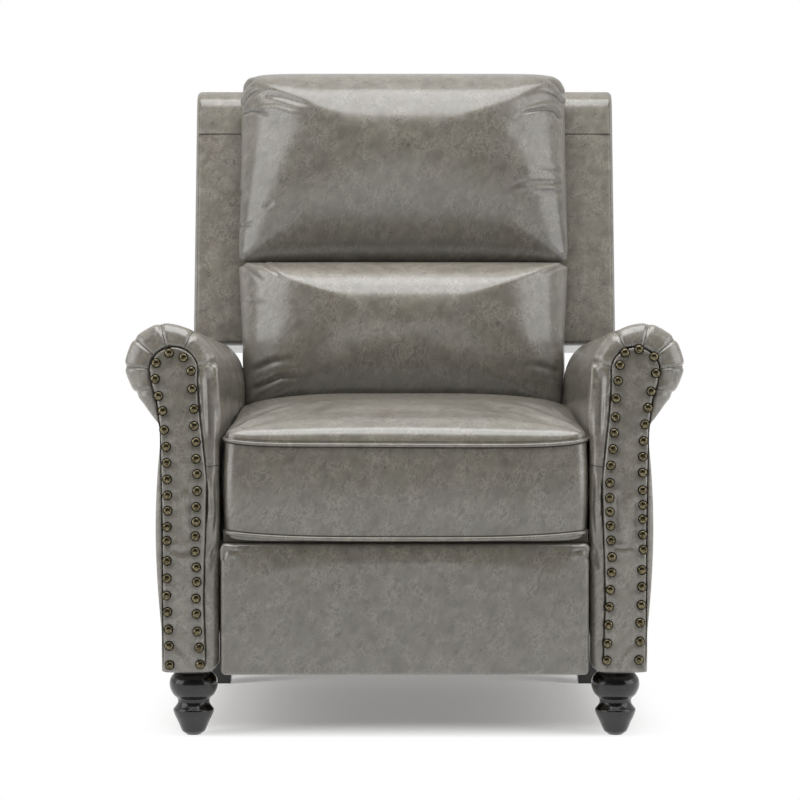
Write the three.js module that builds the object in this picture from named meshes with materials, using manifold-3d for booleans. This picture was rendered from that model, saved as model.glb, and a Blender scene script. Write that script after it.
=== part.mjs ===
// Wingback push-back recliner with rolled arms, nailhead facings and turned front feet.
// Lengths are millimetres and angles are degrees. +Z is up and the front of the chair faces -Y.
// Pieces are sized with y = 0 at the face of the arms, growing towards the back. The finished chair is
// then moved so that its box is centred over the origin, standing on z = 0.

import * as THREE from 'three';
import { mergeVertices } from 'three/addons/utils/BufferGeometryUtils.js';
import Module from 'manifold-3d';

const wasm = await Module();
wasm.setup();

// Clearances
const gap = 0.3; // between pieces that rest on or against each other
const link_gap = 0.5; // between the layers of the linkage
const pivot_play = 0.5; // radial, between a stud and the hole that turns on it
const overrun = 5; // how far a cutting solid runs past what it cuts
const weld = 0.001; // vertices closer than this are one
const step_least = 0.05; // shortest straight step of a stepped outline
const curve_steps = 7; // straight steps in one curve of an outline

// Arms
const opening_width = 524; // clear width between the arms
const arm_thickness = 81; // padded arm below the roll
const arm_rear = 662; // back end of the padded arms
const arm_bottom = 93;
const arm_wall = 15; // padding and board outside the arm's timber
const arm_fall = 10; // how much lower the roll lies at the rear
const arm_edge = 10; // rounding of the front and rear edges
const roll_radius = 59;
const roll_height = 528; // centre of the roll above the floor
const roll_inset = 6; // centre of the roll inboard of the outer panel
const roll_tuck = 29; // below the roll, where its underside meets the outer panel
const roll_shoulder_drop = 33; // below the roll's centre, where its inner shoulder meets the inner face
const roll_under_angle = -42;
const roll_inner_angle = 125;

// Facing boards with their nails
const facing_thickness = 16;
const facing_edge = 4;
const facing_arch_radius = 34;
const facing_arch_inset = 11; // arch centre inboard of the roll centre
const facing_arch_drop = 9; // arch centre below the roll centre
const facing_neck_drop = 41; // neck below the arch centre
const facing_neck_width = 59;
const facing_flare_height = 63; // from the neck down to where the sides run straight
const facing_shank_width = 61;
const facing_margin = 2; // facing edge inside the outer panel
const facing_lift = 2; // facing's lower edge above the arm's lower edge
const nail_radius = 7;
const nail_height = 4.5;
const nail_inset = 8;
const nail_count = 40;
const nail_sides = 7;
const nail_rings = 3;

// Timber of the arms
const post_depth = 42;
const arm_rail_height = 40;
const arm_post_top = 395;
const arm_timber_front = 20; // behind the facing board

// Feet and legs
const foot_inset = 42; // foot axis inboard of the outer panel
const front_foot_setback = 47;
const rear_leg_setback = 62; // rear leg axis in front of the arm's rear end
const foot_radius = 34.5;
const rear_leg_top = 52;
const rear_leg_bottom = 34;
const foot_sides = 20;

// Base between the arms
const rear_rail_depth = 25;
const rear_rail_height = 42;
const base_panel_thickness = 10;
const base_panel_front = 602;
const base_panel_top = 278;

// Tracks that carry the sliding seat
const track_steel = 2.5;
const track_bottom = 276;
const track_height = 30;
const track_front = 60;
const track_rear = 570;
const track_inner_margin = 32; // inner edge of the track's ledge from the arm

// Seat
const seat_side_gap = 2; // cushion to arm
const seat_front = -3; // front of the boxing, proud of the arms
const seat_rear = 608;
const seat_edge_height = 424; // top edge of the boxing
const seat_crown = 56;
const seat_draw_share = 0.012;
const seat_corner_share = 0.01;
const skirt_bottom = 275;
const skirt_thickness = 22;
const skirt_setback = 3; // behind the belly of the boxing
const rail_thickness = 24;
const rail_height = 45;
const seat_rail_outer = 6; // side rail's outer face from the arm
const seat_frame_front = 25;
const seat_frame_rear = 600;
const wire_radius = 1.9;
const wire_sides = 5;
const seat_wire_count = 4;
const seat_wire_wave = 22; // half the width of a zigzag wire
const wire_pitch = 94; // length of one full zigzag
const wire_end_inset = 10;

// Back: hinge axis, recline at rest and the slab, in the leaning frame of the back
const hinge_y = 625;
const hinge_z = 322;
const recline_rest = 10;
const back_front = 10; // front of the slab behind the hinge axis
const back_depth = 95;
const back_bottom = 0;
const back_top = 676;
const back_width = 702;
const inside_pad_thickness = 30;
const inside_pad_bottom = 60;
const outer_panel_thickness = 15;
const stile_thickness = 30;
const stile_depth = 44;
const back_rail_height = 44;
const top_lip = 6;
const wing_bottom = 236;
const wing_corner = 14;
const wing_edge = 8;
const back_wire_count = 2;
const back_wire_wave = 20;

// Pillows on the back, in its leaning frame
const pillow_front = -135;
const pillow_edge_share = 0.6; // thickness at the sewn edge over full thickness
const pillow_draw_share = 0.018;
const pillow_corner_share = 0.05; // how far the corners are rounded in
const pillow_back_crown = 8;
const lumbar_bottom = 132;
const lumbar_top = 358;
const lumbar_spread = 5; // pillow beyond the slab's inner part, on each side
const head_bottom = 361;
const head_top = 683;
const head_spread = 16; // pillow beyond the slab's inner part, on each side

// Hinge and guide hardware of the back
const plate_steel = 3.5;
const stud_radius = 5;
const hinge_plate_steel = 2.4;
const hinge_eye = 13;
const hinge_plate_front = 545;
const hinge_plate_z = 303;
const guide_lever = 110; // guide stud above the hinge axis, along the back
const guide_travel = 27; // drop of the guide stud over the whole recline
const guide_play = 3;
const guide_margin = 9;

// Footrest linkage, at rest with the footrest closed; angles rise from straight ahead
const link_steel = 4;
const link_radius = 11;
const crank_pivot_y = 184;
const crank_pivot_z = 250;
const crank_length = 166.4;
const crank_angle = -138.2;
const crank_tail = 40.2; // crank beyond the carrier pivot
const follower_back = 38.7; // follower pivot behind and below the crank pivot
const follower_drop = 25.6;
const carrier_length = 255.9;
const carrier_angle = 17.5;
const board_pivot_back = 10; // lower board pivot behind and below the upper one
const board_pivot_drop = 54.1;
const board_slot_play = 9.5; // open pivot: how far its stud wanders in the slot
const torque_tube_radius = 10;
const boss_radius = 9;
const side_plate_margin = 16;

// Footrest
const footrest_bottom = 89;
const footrest_top = 270.5;
const footrest_pad_thickness = 22;
const footrest_crown = 6;
const footrest_corner_share = 0.01;
const footrest_board_thickness = 15;
const footrest_board_margin = 10;
const footrest_side_gap = 2.5;
const flange_depth = 3;
const flange_width = 30;

// Worked out from the sizes above
const degrees = Math.PI / 180;
const arm_inner = opening_width / 2;
const arm_outer = arm_inner + arm_thickness;
const roll_x = arm_outer - roll_inset;
const roll_under_height = roll_height - roll_radius - roll_tuck;
const roll_inner_height = roll_height - roll_shoulder_drop;
const seat_half = arm_inner - seat_side_gap;
const side_rail_outer = arm_inner - seat_rail_outer;
const side_rail_inner = side_rail_outer - rail_thickness;
const seat_rail_bottom = track_bottom + track_steel + gap;
const seat_rail_top = seat_rail_bottom + rail_height;
const seat_wire_z = seat_rail_top + gap + wire_radius;
const cushion_bottom = seat_wire_z + wire_radius + gap;
const stile_front = back_front + back_depth - outer_panel_thickness - gap - stile_depth;
const stile_outer = side_rail_outer - plate_steel - link_gap;
const stile_inner = stile_outer - stile_thickness;

const finishes = {
  leather: { color: 0x78746a, roughness: 0.42, metalness: 0 },
  timber: { color: 0xb08a5a, roughness: 0.7, metalness: 0 },
  lacquer: { color: 0x0d0c0c, roughness: 0.25, metalness: 0 },
  steel: { color: 0x2b2c2e, roughness: 0.45, metalness: 0.6 },
  wire: { color: 0x8d8f92, roughness: 0.4, metalness: 0.9 },
};

// A copy of a geometry with positions only and shared corners joined.
function bare(geometry) {
  const copy = geometry.clone();
  copy.deleteAttribute('normal');
  copy.deleteAttribute('uv');
  return mergeVertices(copy, weld);
}

// The mirror image across x = 0, with its faces still pointing out.
function mirrored(geometry) {
  const copy = bare(geometry).scale(-1, 1, 1);
  const corners = copy.index.array;
  for (let i = 0; i < corners.length; i += 3) {
    const second = corners[i + 1];
    corners[i + 1] = corners[i + 2];
    corners[i + 2] = second;
  }
  return copy;
}

function to_manifold(geometry) {
  const copy = bare(geometry);
  return new wasm.Manifold(new wasm.Mesh({
    numProp: 3,
    vertProperties: new Float32Array(copy.attributes.position.array),
    triVerts: new Uint32Array(copy.index.array),
  }));
}

function to_geometry(manifold) {
  const mesh = manifold.getMesh();
  const geometry = new THREE.BufferGeometry();
  geometry.setAttribute('position', new THREE.BufferAttribute(mesh.vertProperties, 3));
  geometry.setIndex(new THREE.BufferAttribute(mesh.triVerts, 1));
  return geometry;
}

function joined(first, ...others) {
  return to_geometry(others.reduce((sum, other) => sum.add(to_manifold(other)), to_manifold(first)));
}

function cut(first, ...others) {
  const start = to_manifold(first);
  return to_geometry(others.reduce((rest, other) => rest.subtract(to_manifold(other)), start));
}

// A box between two corners.
function block(x0, x1, y0, y1, z0, z1) {
  const geometry = new THREE.BoxGeometry(x1 - x0, y1 - y0, z1 - z0);
  return geometry.translate((x0 + x1) / 2, (y0 + y1) / 2, (z0 + z1) / 2);
}

// The same outline as straight steps, without corners that fall on each other.
function stepped(shape) {
  const corners = shape.getPoints(curve_steps);
  const after = (i) => corners[(i + 1) % corners.length];
  const kept = corners.filter((corner, i) => corner.distanceTo(after(i)) > step_least);
  return new THREE.Shape(kept);
}

// A shape drawn in (x, z), run along y; edge rounds both ends inside the outline.
function along_y(shape, front, rear, edge = 0, segments = 2) {
  const depth = rear - front - 2 * edge;
  const geometry = new THREE.ExtrudeGeometry(stepped(shape), {
    depth,
    bevelEnabled: edge > 0,
    bevelThickness: edge,
    bevelSize: edge,
    bevelOffset: -edge,
    bevelSegments: segments,
  });
  return geometry.rotateX(Math.PI / 2).translate(0, front + edge + depth, 0);
}

// A shape drawn in (y, z), run along x.
function along_x(shape, low, high) {
  const geometry = new THREE.ExtrudeGeometry(stepped(shape), { depth: high - low, bevelEnabled: false });
  const turn = new THREE.Matrix4().makeBasis(
    new THREE.Vector3(0, 1, 0),
    new THREE.Vector3(0, 0, 1),
    new THREE.Vector3(1, 0, 0),
  );
  return geometry.applyMatrix4(turn).translate(low, 0, 0);
}

// A round bar along x at a point of the (y, z) plane.
function pin_x(at, low, high, radius, sides = 12) {
  const geometry = new THREE.CylinderGeometry(radius, radius, high - low, sides);
  return geometry.rotateZ(Math.PI / 2).translate((low + high) / 2, at.y, at.z);
}

// A flat bar with round ends between two points of the (y, z) plane.
function bar_x(from, to, low, high, radius) {
  const angle = Math.atan2(to.z - from.z, to.y - from.y);
  const shape = new THREE.Shape();
  shape.absarc(from.y, from.z, radius, angle + Math.PI / 2, angle + 3 * Math.PI / 2, false);
  shape.absarc(to.y, to.z, radius, angle - Math.PI / 2, angle + Math.PI / 2, false);
  return along_x(shape, low, high);
}

// A closed cushion: crowned faces, sides that draw in between the corners and softened edges.
// Width runs along x, length along y and thickness along z, centred on the origin.
function cushion(sizes) {
  const { width, length, edge_thickness, top_crown, bottom_crown } = sizes;
  const { draw_share, corner_share, cells } = sizes;
  const geometry = new THREE.BoxGeometry(2, 2, 2, ...cells);
  const places = geometry.attributes.position;
  const soft_share = 0.03; // how far the two faces are drawn in behind the belly of the sides
  for (let i = 0; i < places.count; i += 1) {
    const u = places.getX(i);
    const v = places.getY(i);
    const w = places.getZ(i);
    const dome = (1 - u ** 4) * (1 - v ** 4);
    const crown = w > 0 ? top_crown : bottom_crown;
    const soft = (1 - soft_share * w ** 4) * (1 - corner_share * (u * v) ** 8);
    const x = width / 2 * u * soft * (1 - draw_share * (1 - v * v));
    const y = length / 2 * v * soft * (1 - draw_share * (1 - u * u));
    places.setXYZ(i, x, y, w * (edge_thickness / 2 + crown * dome));
  }
  return geometry;
}

// A zigzag spring wire lying in the plane of its run and wave directions.
function zigzag_wire(start, run, wave, length, wave_height) {
  const turns = Math.max(2, Math.round(length / wire_pitch));
  const points = [];
  const per_turn = 6;
  for (let i = 0; i <= turns * per_turn; i += 1) {
    const share = i / (turns * per_turn);
    const side = Math.sin(share * turns * 2 * Math.PI);
    const spot = start.clone().addScaledVector(run, share * length);
    points.push(spot.addScaledVector(wave, side * wave_height));
  }
  const section = new THREE.Shape();
  section.absarc(0, 0, wire_radius, 0, 2 * Math.PI, false);
  const round = new THREE.Shape(section.getPoints(wire_sides).slice(0, wire_sides));
  return new THREE.ExtrudeGeometry(round, {
    steps: turns * per_turn,
    extrudePath: new THREE.CatmullRomCurve3(points),
    bevelEnabled: false,
  });
}

function point(y, z) {
  return { y, z };
}

function add(group, name, geometry, finish) {
  const mesh = new THREE.Mesh(bare(geometry), new THREE.MeshStandardMaterial({ ...finish, name }));
  mesh.name = name;
  group.add(mesh);
}

// Adds a right-hand piece and its mirror image.
function add_pair(group, name, geometry, finish) {
  add(group, `${name}_right`, geometry, finish);
  add(group, `${name}_left`, mirrored(geometry), finish);
}

const chair = new THREE.Group();
const base = new THREE.Group();
const seat = new THREE.Group();
const linkage = new THREE.Group();
const back = new THREE.Group();
back.position.set(0, hinge_y, hinge_z);
back.rotation.x = -recline_rest * degrees;
chair.add(base, seat, linkage, back);

// Section of the padded arm in (x, z): outer panel, roll, inner shoulder and inner face.
function arm_section() {
  const low = roll_under_angle * degrees;
  const high = roll_inner_angle * degrees;
  const low_x = roll_x + roll_radius * Math.cos(low);
  const low_z = roll_height + roll_radius * Math.sin(low);
  const high_x = roll_x + roll_radius * Math.cos(high);
  const shape = new THREE.Shape();
  shape.moveTo(arm_outer, arm_bottom);
  shape.lineTo(arm_outer, roll_under_height);
  const tuck_z = (roll_under_height + low_z) / 2 - roll_inset;
  shape.quadraticCurveTo((arm_outer + low_x) / 2, tuck_z, low_x, low_z);
  shape.absarc(roll_x, roll_height, roll_radius, low, high, false);
  const shoulder_z = roll_height + roll_radius * Math.sin(high) - arm_wall;
  const shoulder_x = (arm_inner * 2 + high_x) / 3 - arm_wall / 2;
  shape.quadraticCurveTo(shoulder_x, shoulder_z, arm_inner, roll_inner_height);
  shape.lineTo(arm_inner, arm_bottom);
  return shape;
}

// Lowers the roll towards the rear, and leaves everything below the roll where it is.
function fall_to_rear(geometry) {
  const places = geometry.attributes.position;
  for (let i = 0; i < places.count; i += 1) {
    const back_share = places.getY(i) / arm_rear;
    const rise = (places.getZ(i) - roll_under_height) / (roll_height + roll_radius - roll_under_height);
    places.setZ(i, places.getZ(i) - arm_fall * back_share * Math.max(0, rise));
  }
  return geometry;
}

// Keyhole outline of a facing board in (x, z), drawn in by an inset and open at the bottom.
function facing_path(path, inset) {
  const arch_x = roll_x - facing_arch_inset;
  const arch_z = roll_height - facing_arch_drop;
  const neck_z = arch_z - facing_neck_drop;
  const shank_z = neck_z - facing_flare_height;
  const flare_z = (neck_z + shank_z) / 2;
  const outer = arm_outer - facing_margin;
  const neck_outer = arch_x + (facing_neck_width + facing_arch_inset) / 2 - inset;
  const neck_inner = arch_x + (facing_arch_inset - facing_neck_width) / 2 - facing_margin + inset;
  const inner = outer - facing_shank_width + inset;
  const bottom = arm_bottom + facing_lift;
  path.moveTo(outer - inset, bottom + inset);
  path.lineTo(outer - inset, shank_z);
  path.quadraticCurveTo(outer - inset, flare_z, neck_outer - facing_lift, neck_z);
  path.lineTo(arch_x + (facing_arch_radius - inset), arch_z);
  path.absarc(arch_x, arch_z, facing_arch_radius - inset, 0, Math.PI, false);
  path.lineTo(neck_inner, neck_z);
  path.quadraticCurveTo(inner, flare_z, inner, shank_z);
  path.lineTo(inner, bottom + inset);
  return path;
}

// The facing board, with a row of domed nails that follows its edge up one side and down the other.
function facing_with_nails() {
  const board = along_y(facing_path(new THREE.Shape(), 0), 0, facing_thickness - gap, facing_edge);
  const row = facing_path(new THREE.Path(), nail_inset);
  const nails = row.getSpacedPoints(nail_count - 1).map((place) => {
    const dome = new THREE.SphereGeometry(1, nail_sides, nail_rings);
    return dome.scale(nail_radius, nail_height, nail_radius).translate(place.x, 0, place.y);
  });
  return joined(board, ...nails);
}

function build_arms() {
  const channel_top = arm_post_top + arm_rail_height + 2 * gap;
  const channel = block(arm_inner + arm_wall, arm_outer - arm_wall, facing_thickness + arm_wall,
    arm_rear - arm_wall, arm_bottom - overrun, channel_top);
  const casing = cut(fall_to_rear(along_y(arm_section(), facing_thickness, arm_rear, arm_edge)), channel);
  add_pair(base, 'arm_casing', casing, finishes.leather);
  add_pair(base, 'arm_facing', facing_with_nails(), finishes.leather);
  const inner = arm_inner + arm_wall + gap;
  const outer = arm_outer - arm_wall - gap;
  const front = facing_thickness + arm_timber_front;
  const rear = arm_rear - arm_timber_front;
  const rail_top = arm_bottom + arm_rail_height;
  const post_bottom = rail_top + gap;
  const bottom_rail = block(inner, outer, front, rear, arm_bottom, rail_top);
  const front_post = block(inner, outer, front, front + post_depth, post_bottom, arm_post_top);
  const rear_post = block(inner, outer, rear - post_depth, rear, post_bottom, arm_post_top);
  const top_low = arm_post_top + gap;
  const top_rail = block(inner, outer, front, rear, top_low, top_low + arm_rail_height);
  add_pair(base, 'arm_bottom_rail', bottom_rail, finishes.timber);
  add_pair(base, 'arm_front_post', front_post, finishes.timber);
  add_pair(base, 'arm_rear_post', rear_post, finishes.timber);
  add_pair(base, 'arm_top_rail', top_rail, finishes.timber);
}

// Turned front foot: shares of the foot's radius and of its height, from the floor up.
const foot_profile_shares = [
  [0, 0], [0.33, 0], [0.4, 0.02], [0.54, 0.07], [0.6, 0.14], [0.7, 0.24], [0.82, 0.33], [0.86, 0.38],
  [0.8, 0.43], [0.68, 0.46], [0.66, 0.5], [0.68, 0.54], [0.84, 0.6], [0.96, 0.68], [1, 0.76], [0.97, 0.84],
  [0.88, 0.9], [0.74, 0.94], [0.74, 1], [0, 1],
];

function build_feet() {
  const height = arm_bottom - gap;
  const x = arm_outer - foot_inset;
  const profile = foot_profile_shares.map(([r, z]) => new THREE.Vector2(r * foot_radius, z * height));
  const foot = new THREE.LatheGeometry(profile, foot_sides).rotateX(Math.PI / 2);
  add_pair(base, 'front_foot', foot.translate(x, front_foot_setback, 0), finishes.lacquer);
  const top_radius = rear_leg_top / Math.SQRT2;
  const leg = new THREE.CylinderGeometry(top_radius, rear_leg_bottom / Math.SQRT2, height, 4);
  leg.rotateX(Math.PI / 2).rotateZ(Math.PI / 4).translate(x, arm_rear - rear_leg_setback, height / 2);
  add_pair(base, 'rear_leg', leg, finishes.lacquer);
}

function build_base() {
  const half = arm_inner - gap;
  const rear_rail_rear = base_panel_front - gap;
  const rear_rail = block(-half, half, rear_rail_rear - rear_rail_depth, rear_rail_rear, arm_bottom,
    arm_bottom + rear_rail_height);
  add(base, 'base_rear_rail', rear_rail, finishes.timber);
  const panel = block(-half, half, base_panel_front, base_panel_front + base_panel_thickness, arm_bottom,
    base_panel_top);
  add(base, 'base_back_panel', panel, finishes.leather);
}

function build_tracks() {
  const wall = arm_inner - gap;
  const ledge = new THREE.Shape();
  ledge.moveTo(wall, track_bottom);
  ledge.lineTo(wall, track_bottom + track_height);
  ledge.lineTo(wall - track_steel, track_bottom + track_height);
  ledge.lineTo(wall - track_steel, track_bottom + track_steel);
  ledge.lineTo(arm_inner - track_inner_margin, track_bottom + track_steel);
  ledge.lineTo(arm_inner - track_inner_margin, track_bottom);
  add_pair(base, 'seat_track', along_y(ledge, track_front, track_rear), finishes.steel);
}

function build_seat() {
  const rails = [side_rail_inner, side_rail_outer, seat_frame_front, seat_frame_rear];
  add_pair(seat, 'seat_side_rail', block(...rails, seat_rail_bottom, seat_rail_top), finishes.timber);
  const half = side_rail_inner - gap;
  const front_rail_rear = seat_frame_front + rail_thickness;
  add(seat, 'seat_front_rail', block(-half, half, seat_frame_front, front_rail_rear, seat_rail_bottom,
    seat_rail_top), finishes.timber);
  add(seat, 'seat_rear_rail', block(-half, half, seat_frame_rear - rail_thickness, seat_frame_rear,
    seat_rail_bottom, seat_rail_top), finishes.timber);
  const first = seat_frame_front + wire_end_inset;
  const length = seat_frame_rear - wire_end_inset - first;
  const spacing = 2 * half / seat_wire_count;
  for (let i = 0; i < seat_wire_count; i += 1) {
    const start = new THREE.Vector3(spacing * (i + 0.5) - half, first, seat_wire_z);
    const run = new THREE.Vector3(0, 1, 0);
    const wire = zigzag_wire(start, run, new THREE.Vector3(1, 0, 0), length, seat_wire_wave);
    add(seat, `seat_spring_${i + 1}`, wire, finishes.wire);
  }
  const edge_thickness = seat_edge_height - cushion_bottom;
  const pad = cushion({
    width: 2 * seat_half,
    length: seat_rear - seat_front,
    edge_thickness,
    top_crown: seat_crown,
    bottom_crown: 0,
    draw_share: seat_draw_share,
    corner_share: seat_corner_share,
    cells: [14, 14, 4],
  }).translate(0, (seat_front + seat_rear) / 2, cushion_bottom + edge_thickness / 2);
  const skirt_front = seat_front + skirt_setback;
  const skirt = block(skirt_setback - seat_half, seat_half - skirt_setback, skirt_front,
    skirt_front + skirt_thickness, skirt_bottom, cushion_bottom + edge_thickness / 2);
  add(seat, 'seat_cushion', joined(pad, skirt), finishes.leather);
}

// Layer n of the linkage, counted inwards from the side plate, as its lower and upper x.
function layer(n) {
  const high = arm_inner - gap - plate_steel - n * link_gap - (n - 1) * link_steel;
  return [high - link_steel, high];
}

function linkage_points() {
  const crank = crank_angle * degrees;
  const carrier = carrier_angle * degrees;
  const crank_pivot = point(crank_pivot_y, crank_pivot_z);
  const follower_pivot = point(crank_pivot_y + follower_back, crank_pivot_z - follower_drop);
  const reach = (length) => point(
    crank_pivot_y - length * Math.cos(crank),
    crank_pivot_z + length * Math.sin(crank),
  );
  const carrier_joint = reach(crank_length);
  const tail_joint = reach(crank_length + crank_tail);
  const follower_joint = point(carrier_joint.y + follower_back, carrier_joint.z - follower_drop);
  const board_upper = point(carrier_joint.y - carrier_length * Math.cos(carrier),
    carrier_joint.z + carrier_length * Math.sin(carrier));
  const board_lower = point(board_upper.y + board_pivot_back, board_upper.z - board_pivot_drop);
  const fixed = { crank_pivot, follower_pivot };
  return { ...fixed, carrier_joint, tail_joint, follower_joint, board_upper, board_lower };
}

function build_linkage() {
  const at = linkage_points();
  const [follower_low, follower_high] = layer(1);
  const [carrier_low, carrier_high] = layer(2);
  const [crank_low, crank_high] = layer(3);
  const [strut_low, strut_high] = layer(4);
  const plate_high = arm_inner - gap;
  const plate_low = plate_high - plate_steel;
  const hole = stud_radius + pivot_play;
  const hole_at = (place, low, high) => pin_x(place, low - overrun, high + overrun, hole);

  const plate = joined(
    bar_x(at.crank_pivot, at.follower_pivot, plate_low, plate_high, side_plate_margin),
    pin_x(at.crank_pivot, carrier_low, plate_low + plate_steel / 2, boss_radius),
    pin_x(at.crank_pivot, crank_low + gap, plate_low, stud_radius),
    pin_x(at.follower_pivot, follower_low - link_gap, plate_low + plate_steel / 2, stud_radius),
  );
  add_pair(base, 'linkage_side_plate', plate, finishes.steel);

  const follower = cut(
    bar_x(at.follower_pivot, at.follower_joint, follower_low, follower_high, link_radius),
    hole_at(at.follower_pivot, follower_low, follower_high),
    hole_at(at.follower_joint, follower_low, follower_high),
  );
  add_pair(linkage, 'follower_link', follower, finishes.steel);

  const carrier = joined(
    bar_x(at.follower_joint, at.carrier_joint, carrier_low, carrier_high, link_radius),
    bar_x(at.carrier_joint, at.board_upper, carrier_low, carrier_high, link_radius),
    pin_x(at.follower_joint, carrier_low, follower_high - gap, stud_radius),
    pin_x(at.carrier_joint, crank_low + gap, carrier_high, stud_radius),
    pin_x(at.board_upper, crank_low + gap, carrier_high, stud_radius),
  );
  add_pair(linkage, 'carrier_link', carrier, finishes.steel);

  const crank_plate = cut(
    bar_x(at.crank_pivot, at.tail_joint, crank_low, crank_high, link_radius),
    hole_at(at.crank_pivot, crank_low, crank_high),
    hole_at(at.carrier_joint, crank_low, crank_high),
  );
  const crank = joined(crank_plate, pin_x(at.tail_joint, strut_low + gap, crank_high, stud_radius));
  const tube = pin_x(at.crank_pivot, -crank_low, crank_low, torque_tube_radius);
  add(linkage, 'crank_with_torque_tube', joined(tube, crank, mirrored(crank)), finishes.steel);

  const strut = joined(
    cut(
      bar_x(at.tail_joint, at.board_lower, strut_low, strut_high, link_radius),
      hole_at(at.tail_joint, strut_low, strut_high),
    ),
    pin_x(at.board_lower, strut_low, crank_high - gap, stud_radius),
  );
  add_pair(linkage, 'board_strut', strut, finishes.steel);

  const slot_radius = stud_radius + board_slot_play;
  const flange_front = footrest_pad_thickness + footrest_board_thickness + 2 * gap;
  const web_front = point(flange_front + link_radius, at.board_upper.z);
  const web_low = point(flange_front + link_radius, at.board_lower.z);
  const web = joined(
    bar_x(at.board_upper, web_front, crank_low, crank_high, link_radius),
    bar_x(at.board_lower, web_low, crank_low, crank_high, slot_radius + link_radius - stud_radius),
    block(crank_low, crank_high, flange_front, at.board_upper.y, at.board_lower.z, at.board_upper.z),
  );
  const bracket = joined(
    cut(
      web,
      hole_at(at.board_upper, crank_low, crank_high),
      pin_x(at.board_lower, crank_low - overrun, crank_high + overrun, slot_radius, 20),
      block(crank_low - overrun, crank_high + overrun, -overrun, flange_front, footrest_bottom,
        footrest_top),
    ),
    block(crank_low - flange_width, crank_high, flange_front, flange_front + flange_depth,
      at.board_lower.z - link_radius, at.board_upper.z + link_radius),
  );
  add_pair(linkage, 'footrest_bracket', bracket, finishes.steel);
}

function build_footrest() {
  const half = arm_inner - footrest_side_gap;
  const height = footrest_top - footrest_bottom;
  const pad = cushion({
    width: 2 * half,
    length: height,
    edge_thickness: footrest_pad_thickness,
    top_crown: footrest_crown,
    bottom_crown: 0,
    draw_share: 0,
    corner_share: footrest_corner_share,
    cells: [12, 8, 3],
  }).rotateX(Math.PI / 2).translate(0, footrest_pad_thickness / 2, footrest_bottom + height / 2);
  add(linkage, 'footrest_pad', pad, finishes.leather);
  const board_front = footrest_pad_thickness + gap;
  const board = block(footrest_board_margin - half, half - footrest_board_margin, board_front,
    board_front + footrest_board_thickness, footrest_bottom + footrest_board_margin,
    footrest_top - footrest_board_margin);
  add(linkage, 'footrest_board', board, finishes.timber);
}

function build_back() {
  const stile_rear = stile_front + stile_depth;
  const rail_half = stile_inner - gap;
  const rail_top = back_top - top_lip - gap;
  const stile = block(stile_inner, stile_outer, stile_front, stile_rear, back_bottom, rail_top);
  const rail_plan = [-rail_half, rail_half, stile_front, stile_rear];
  const top_rail = block(...rail_plan, rail_top - back_rail_height, rail_top);
  const bottom_rail = block(...rail_plan, back_bottom, back_bottom + back_rail_height);
  add_pair(back, 'back_stile', stile, finishes.timber);
  add(back, 'back_top_rail', top_rail, finishes.timber);
  add(back, 'back_bottom_rail', bottom_rail, finishes.timber);

  const wire_y = stile_front - gap - wire_radius;
  const wire_reach = stile_outer - wire_end_inset;
  const spacing = (back_top - inside_pad_bottom) / (back_wire_count + 1);
  for (let i = 1; i <= back_wire_count; i += 1) {
    const start = new THREE.Vector3(-wire_reach, wire_y, inside_pad_bottom + i * spacing);
    const run = new THREE.Vector3(1, 0, 0);
    const wire = zigzag_wire(start, run, new THREE.Vector3(0, 0, 1), 2 * wire_reach, back_wire_wave);
    add(back, `back_spring_${i}`, wire, finishes.wire);
  }

  const panel_front = stile_rear + gap;
  const panel_rear = back_front + back_depth;
  const panel = block(-stile_outer, stile_outer, panel_front, panel_rear, back_bottom, back_top);
  add(back, 'outside_back_panel', panel, finishes.leather);
  const pad_rear = back_front + inside_pad_thickness;
  const pad = new THREE.Shape();
  pad.moveTo(back_front, inside_pad_bottom);
  pad.lineTo(pad_rear, inside_pad_bottom);
  pad.lineTo(pad_rear, back_top - top_lip);
  pad.lineTo(panel_front - gap, back_top - top_lip);
  pad.lineTo(panel_front - gap, back_top);
  pad.lineTo(back_front, back_top);
  add(back, 'inside_back_pad', along_x(pad, -stile_outer, stile_outer), finishes.leather);

  const low = stile_outer + gap;
  const high = back_width / 2;
  const wing = new THREE.Shape();
  wing.moveTo(low + wing_corner, wing_bottom);
  wing.lineTo(high - wing_corner, wing_bottom);
  wing.absarc(high - wing_corner, wing_bottom + wing_corner, wing_corner, -Math.PI / 2, 0, false);
  wing.absarc(high - wing_corner, back_top - wing_corner, wing_corner, 0, Math.PI / 2, false);
  wing.lineTo(low, back_top);
  wing.lineTo(low, wing_bottom + wing_corner);
  wing.absarc(low + wing_corner, wing_bottom + wing_corner, wing_corner, Math.PI, 3 * Math.PI / 2, false);
  add_pair(back, 'back_wing', along_y(wing, back_front, panel_rear, wing_edge), finishes.leather);
}

function pillow(width, bottom, top) {
  const thickness = back_front - gap - pillow_front;
  const edge_thickness = thickness * pillow_edge_share;
  const middle_y = back_front - gap - pillow_back_crown - edge_thickness / 2;
  return cushion({
    width,
    length: top - bottom,
    edge_thickness,
    top_crown: thickness - edge_thickness - pillow_back_crown,
    bottom_crown: pillow_back_crown,
    draw_share: pillow_draw_share,
    corner_share: pillow_corner_share,
    cells: [14, 10, 4],
  }).rotateX(Math.PI / 2).translate(0, middle_y, (bottom + top) / 2);
}

function build_pillows() {
  const lumbar_width = 2 * (stile_outer + lumbar_spread);
  const head_width = 2 * (stile_outer + head_spread);
  add(back, 'lumbar_pillow', pillow(lumbar_width, lumbar_bottom, lumbar_top), finishes.leather);
  add(back, 'head_pillow', pillow(head_width, head_bottom, head_top), finishes.leather);
}

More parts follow.
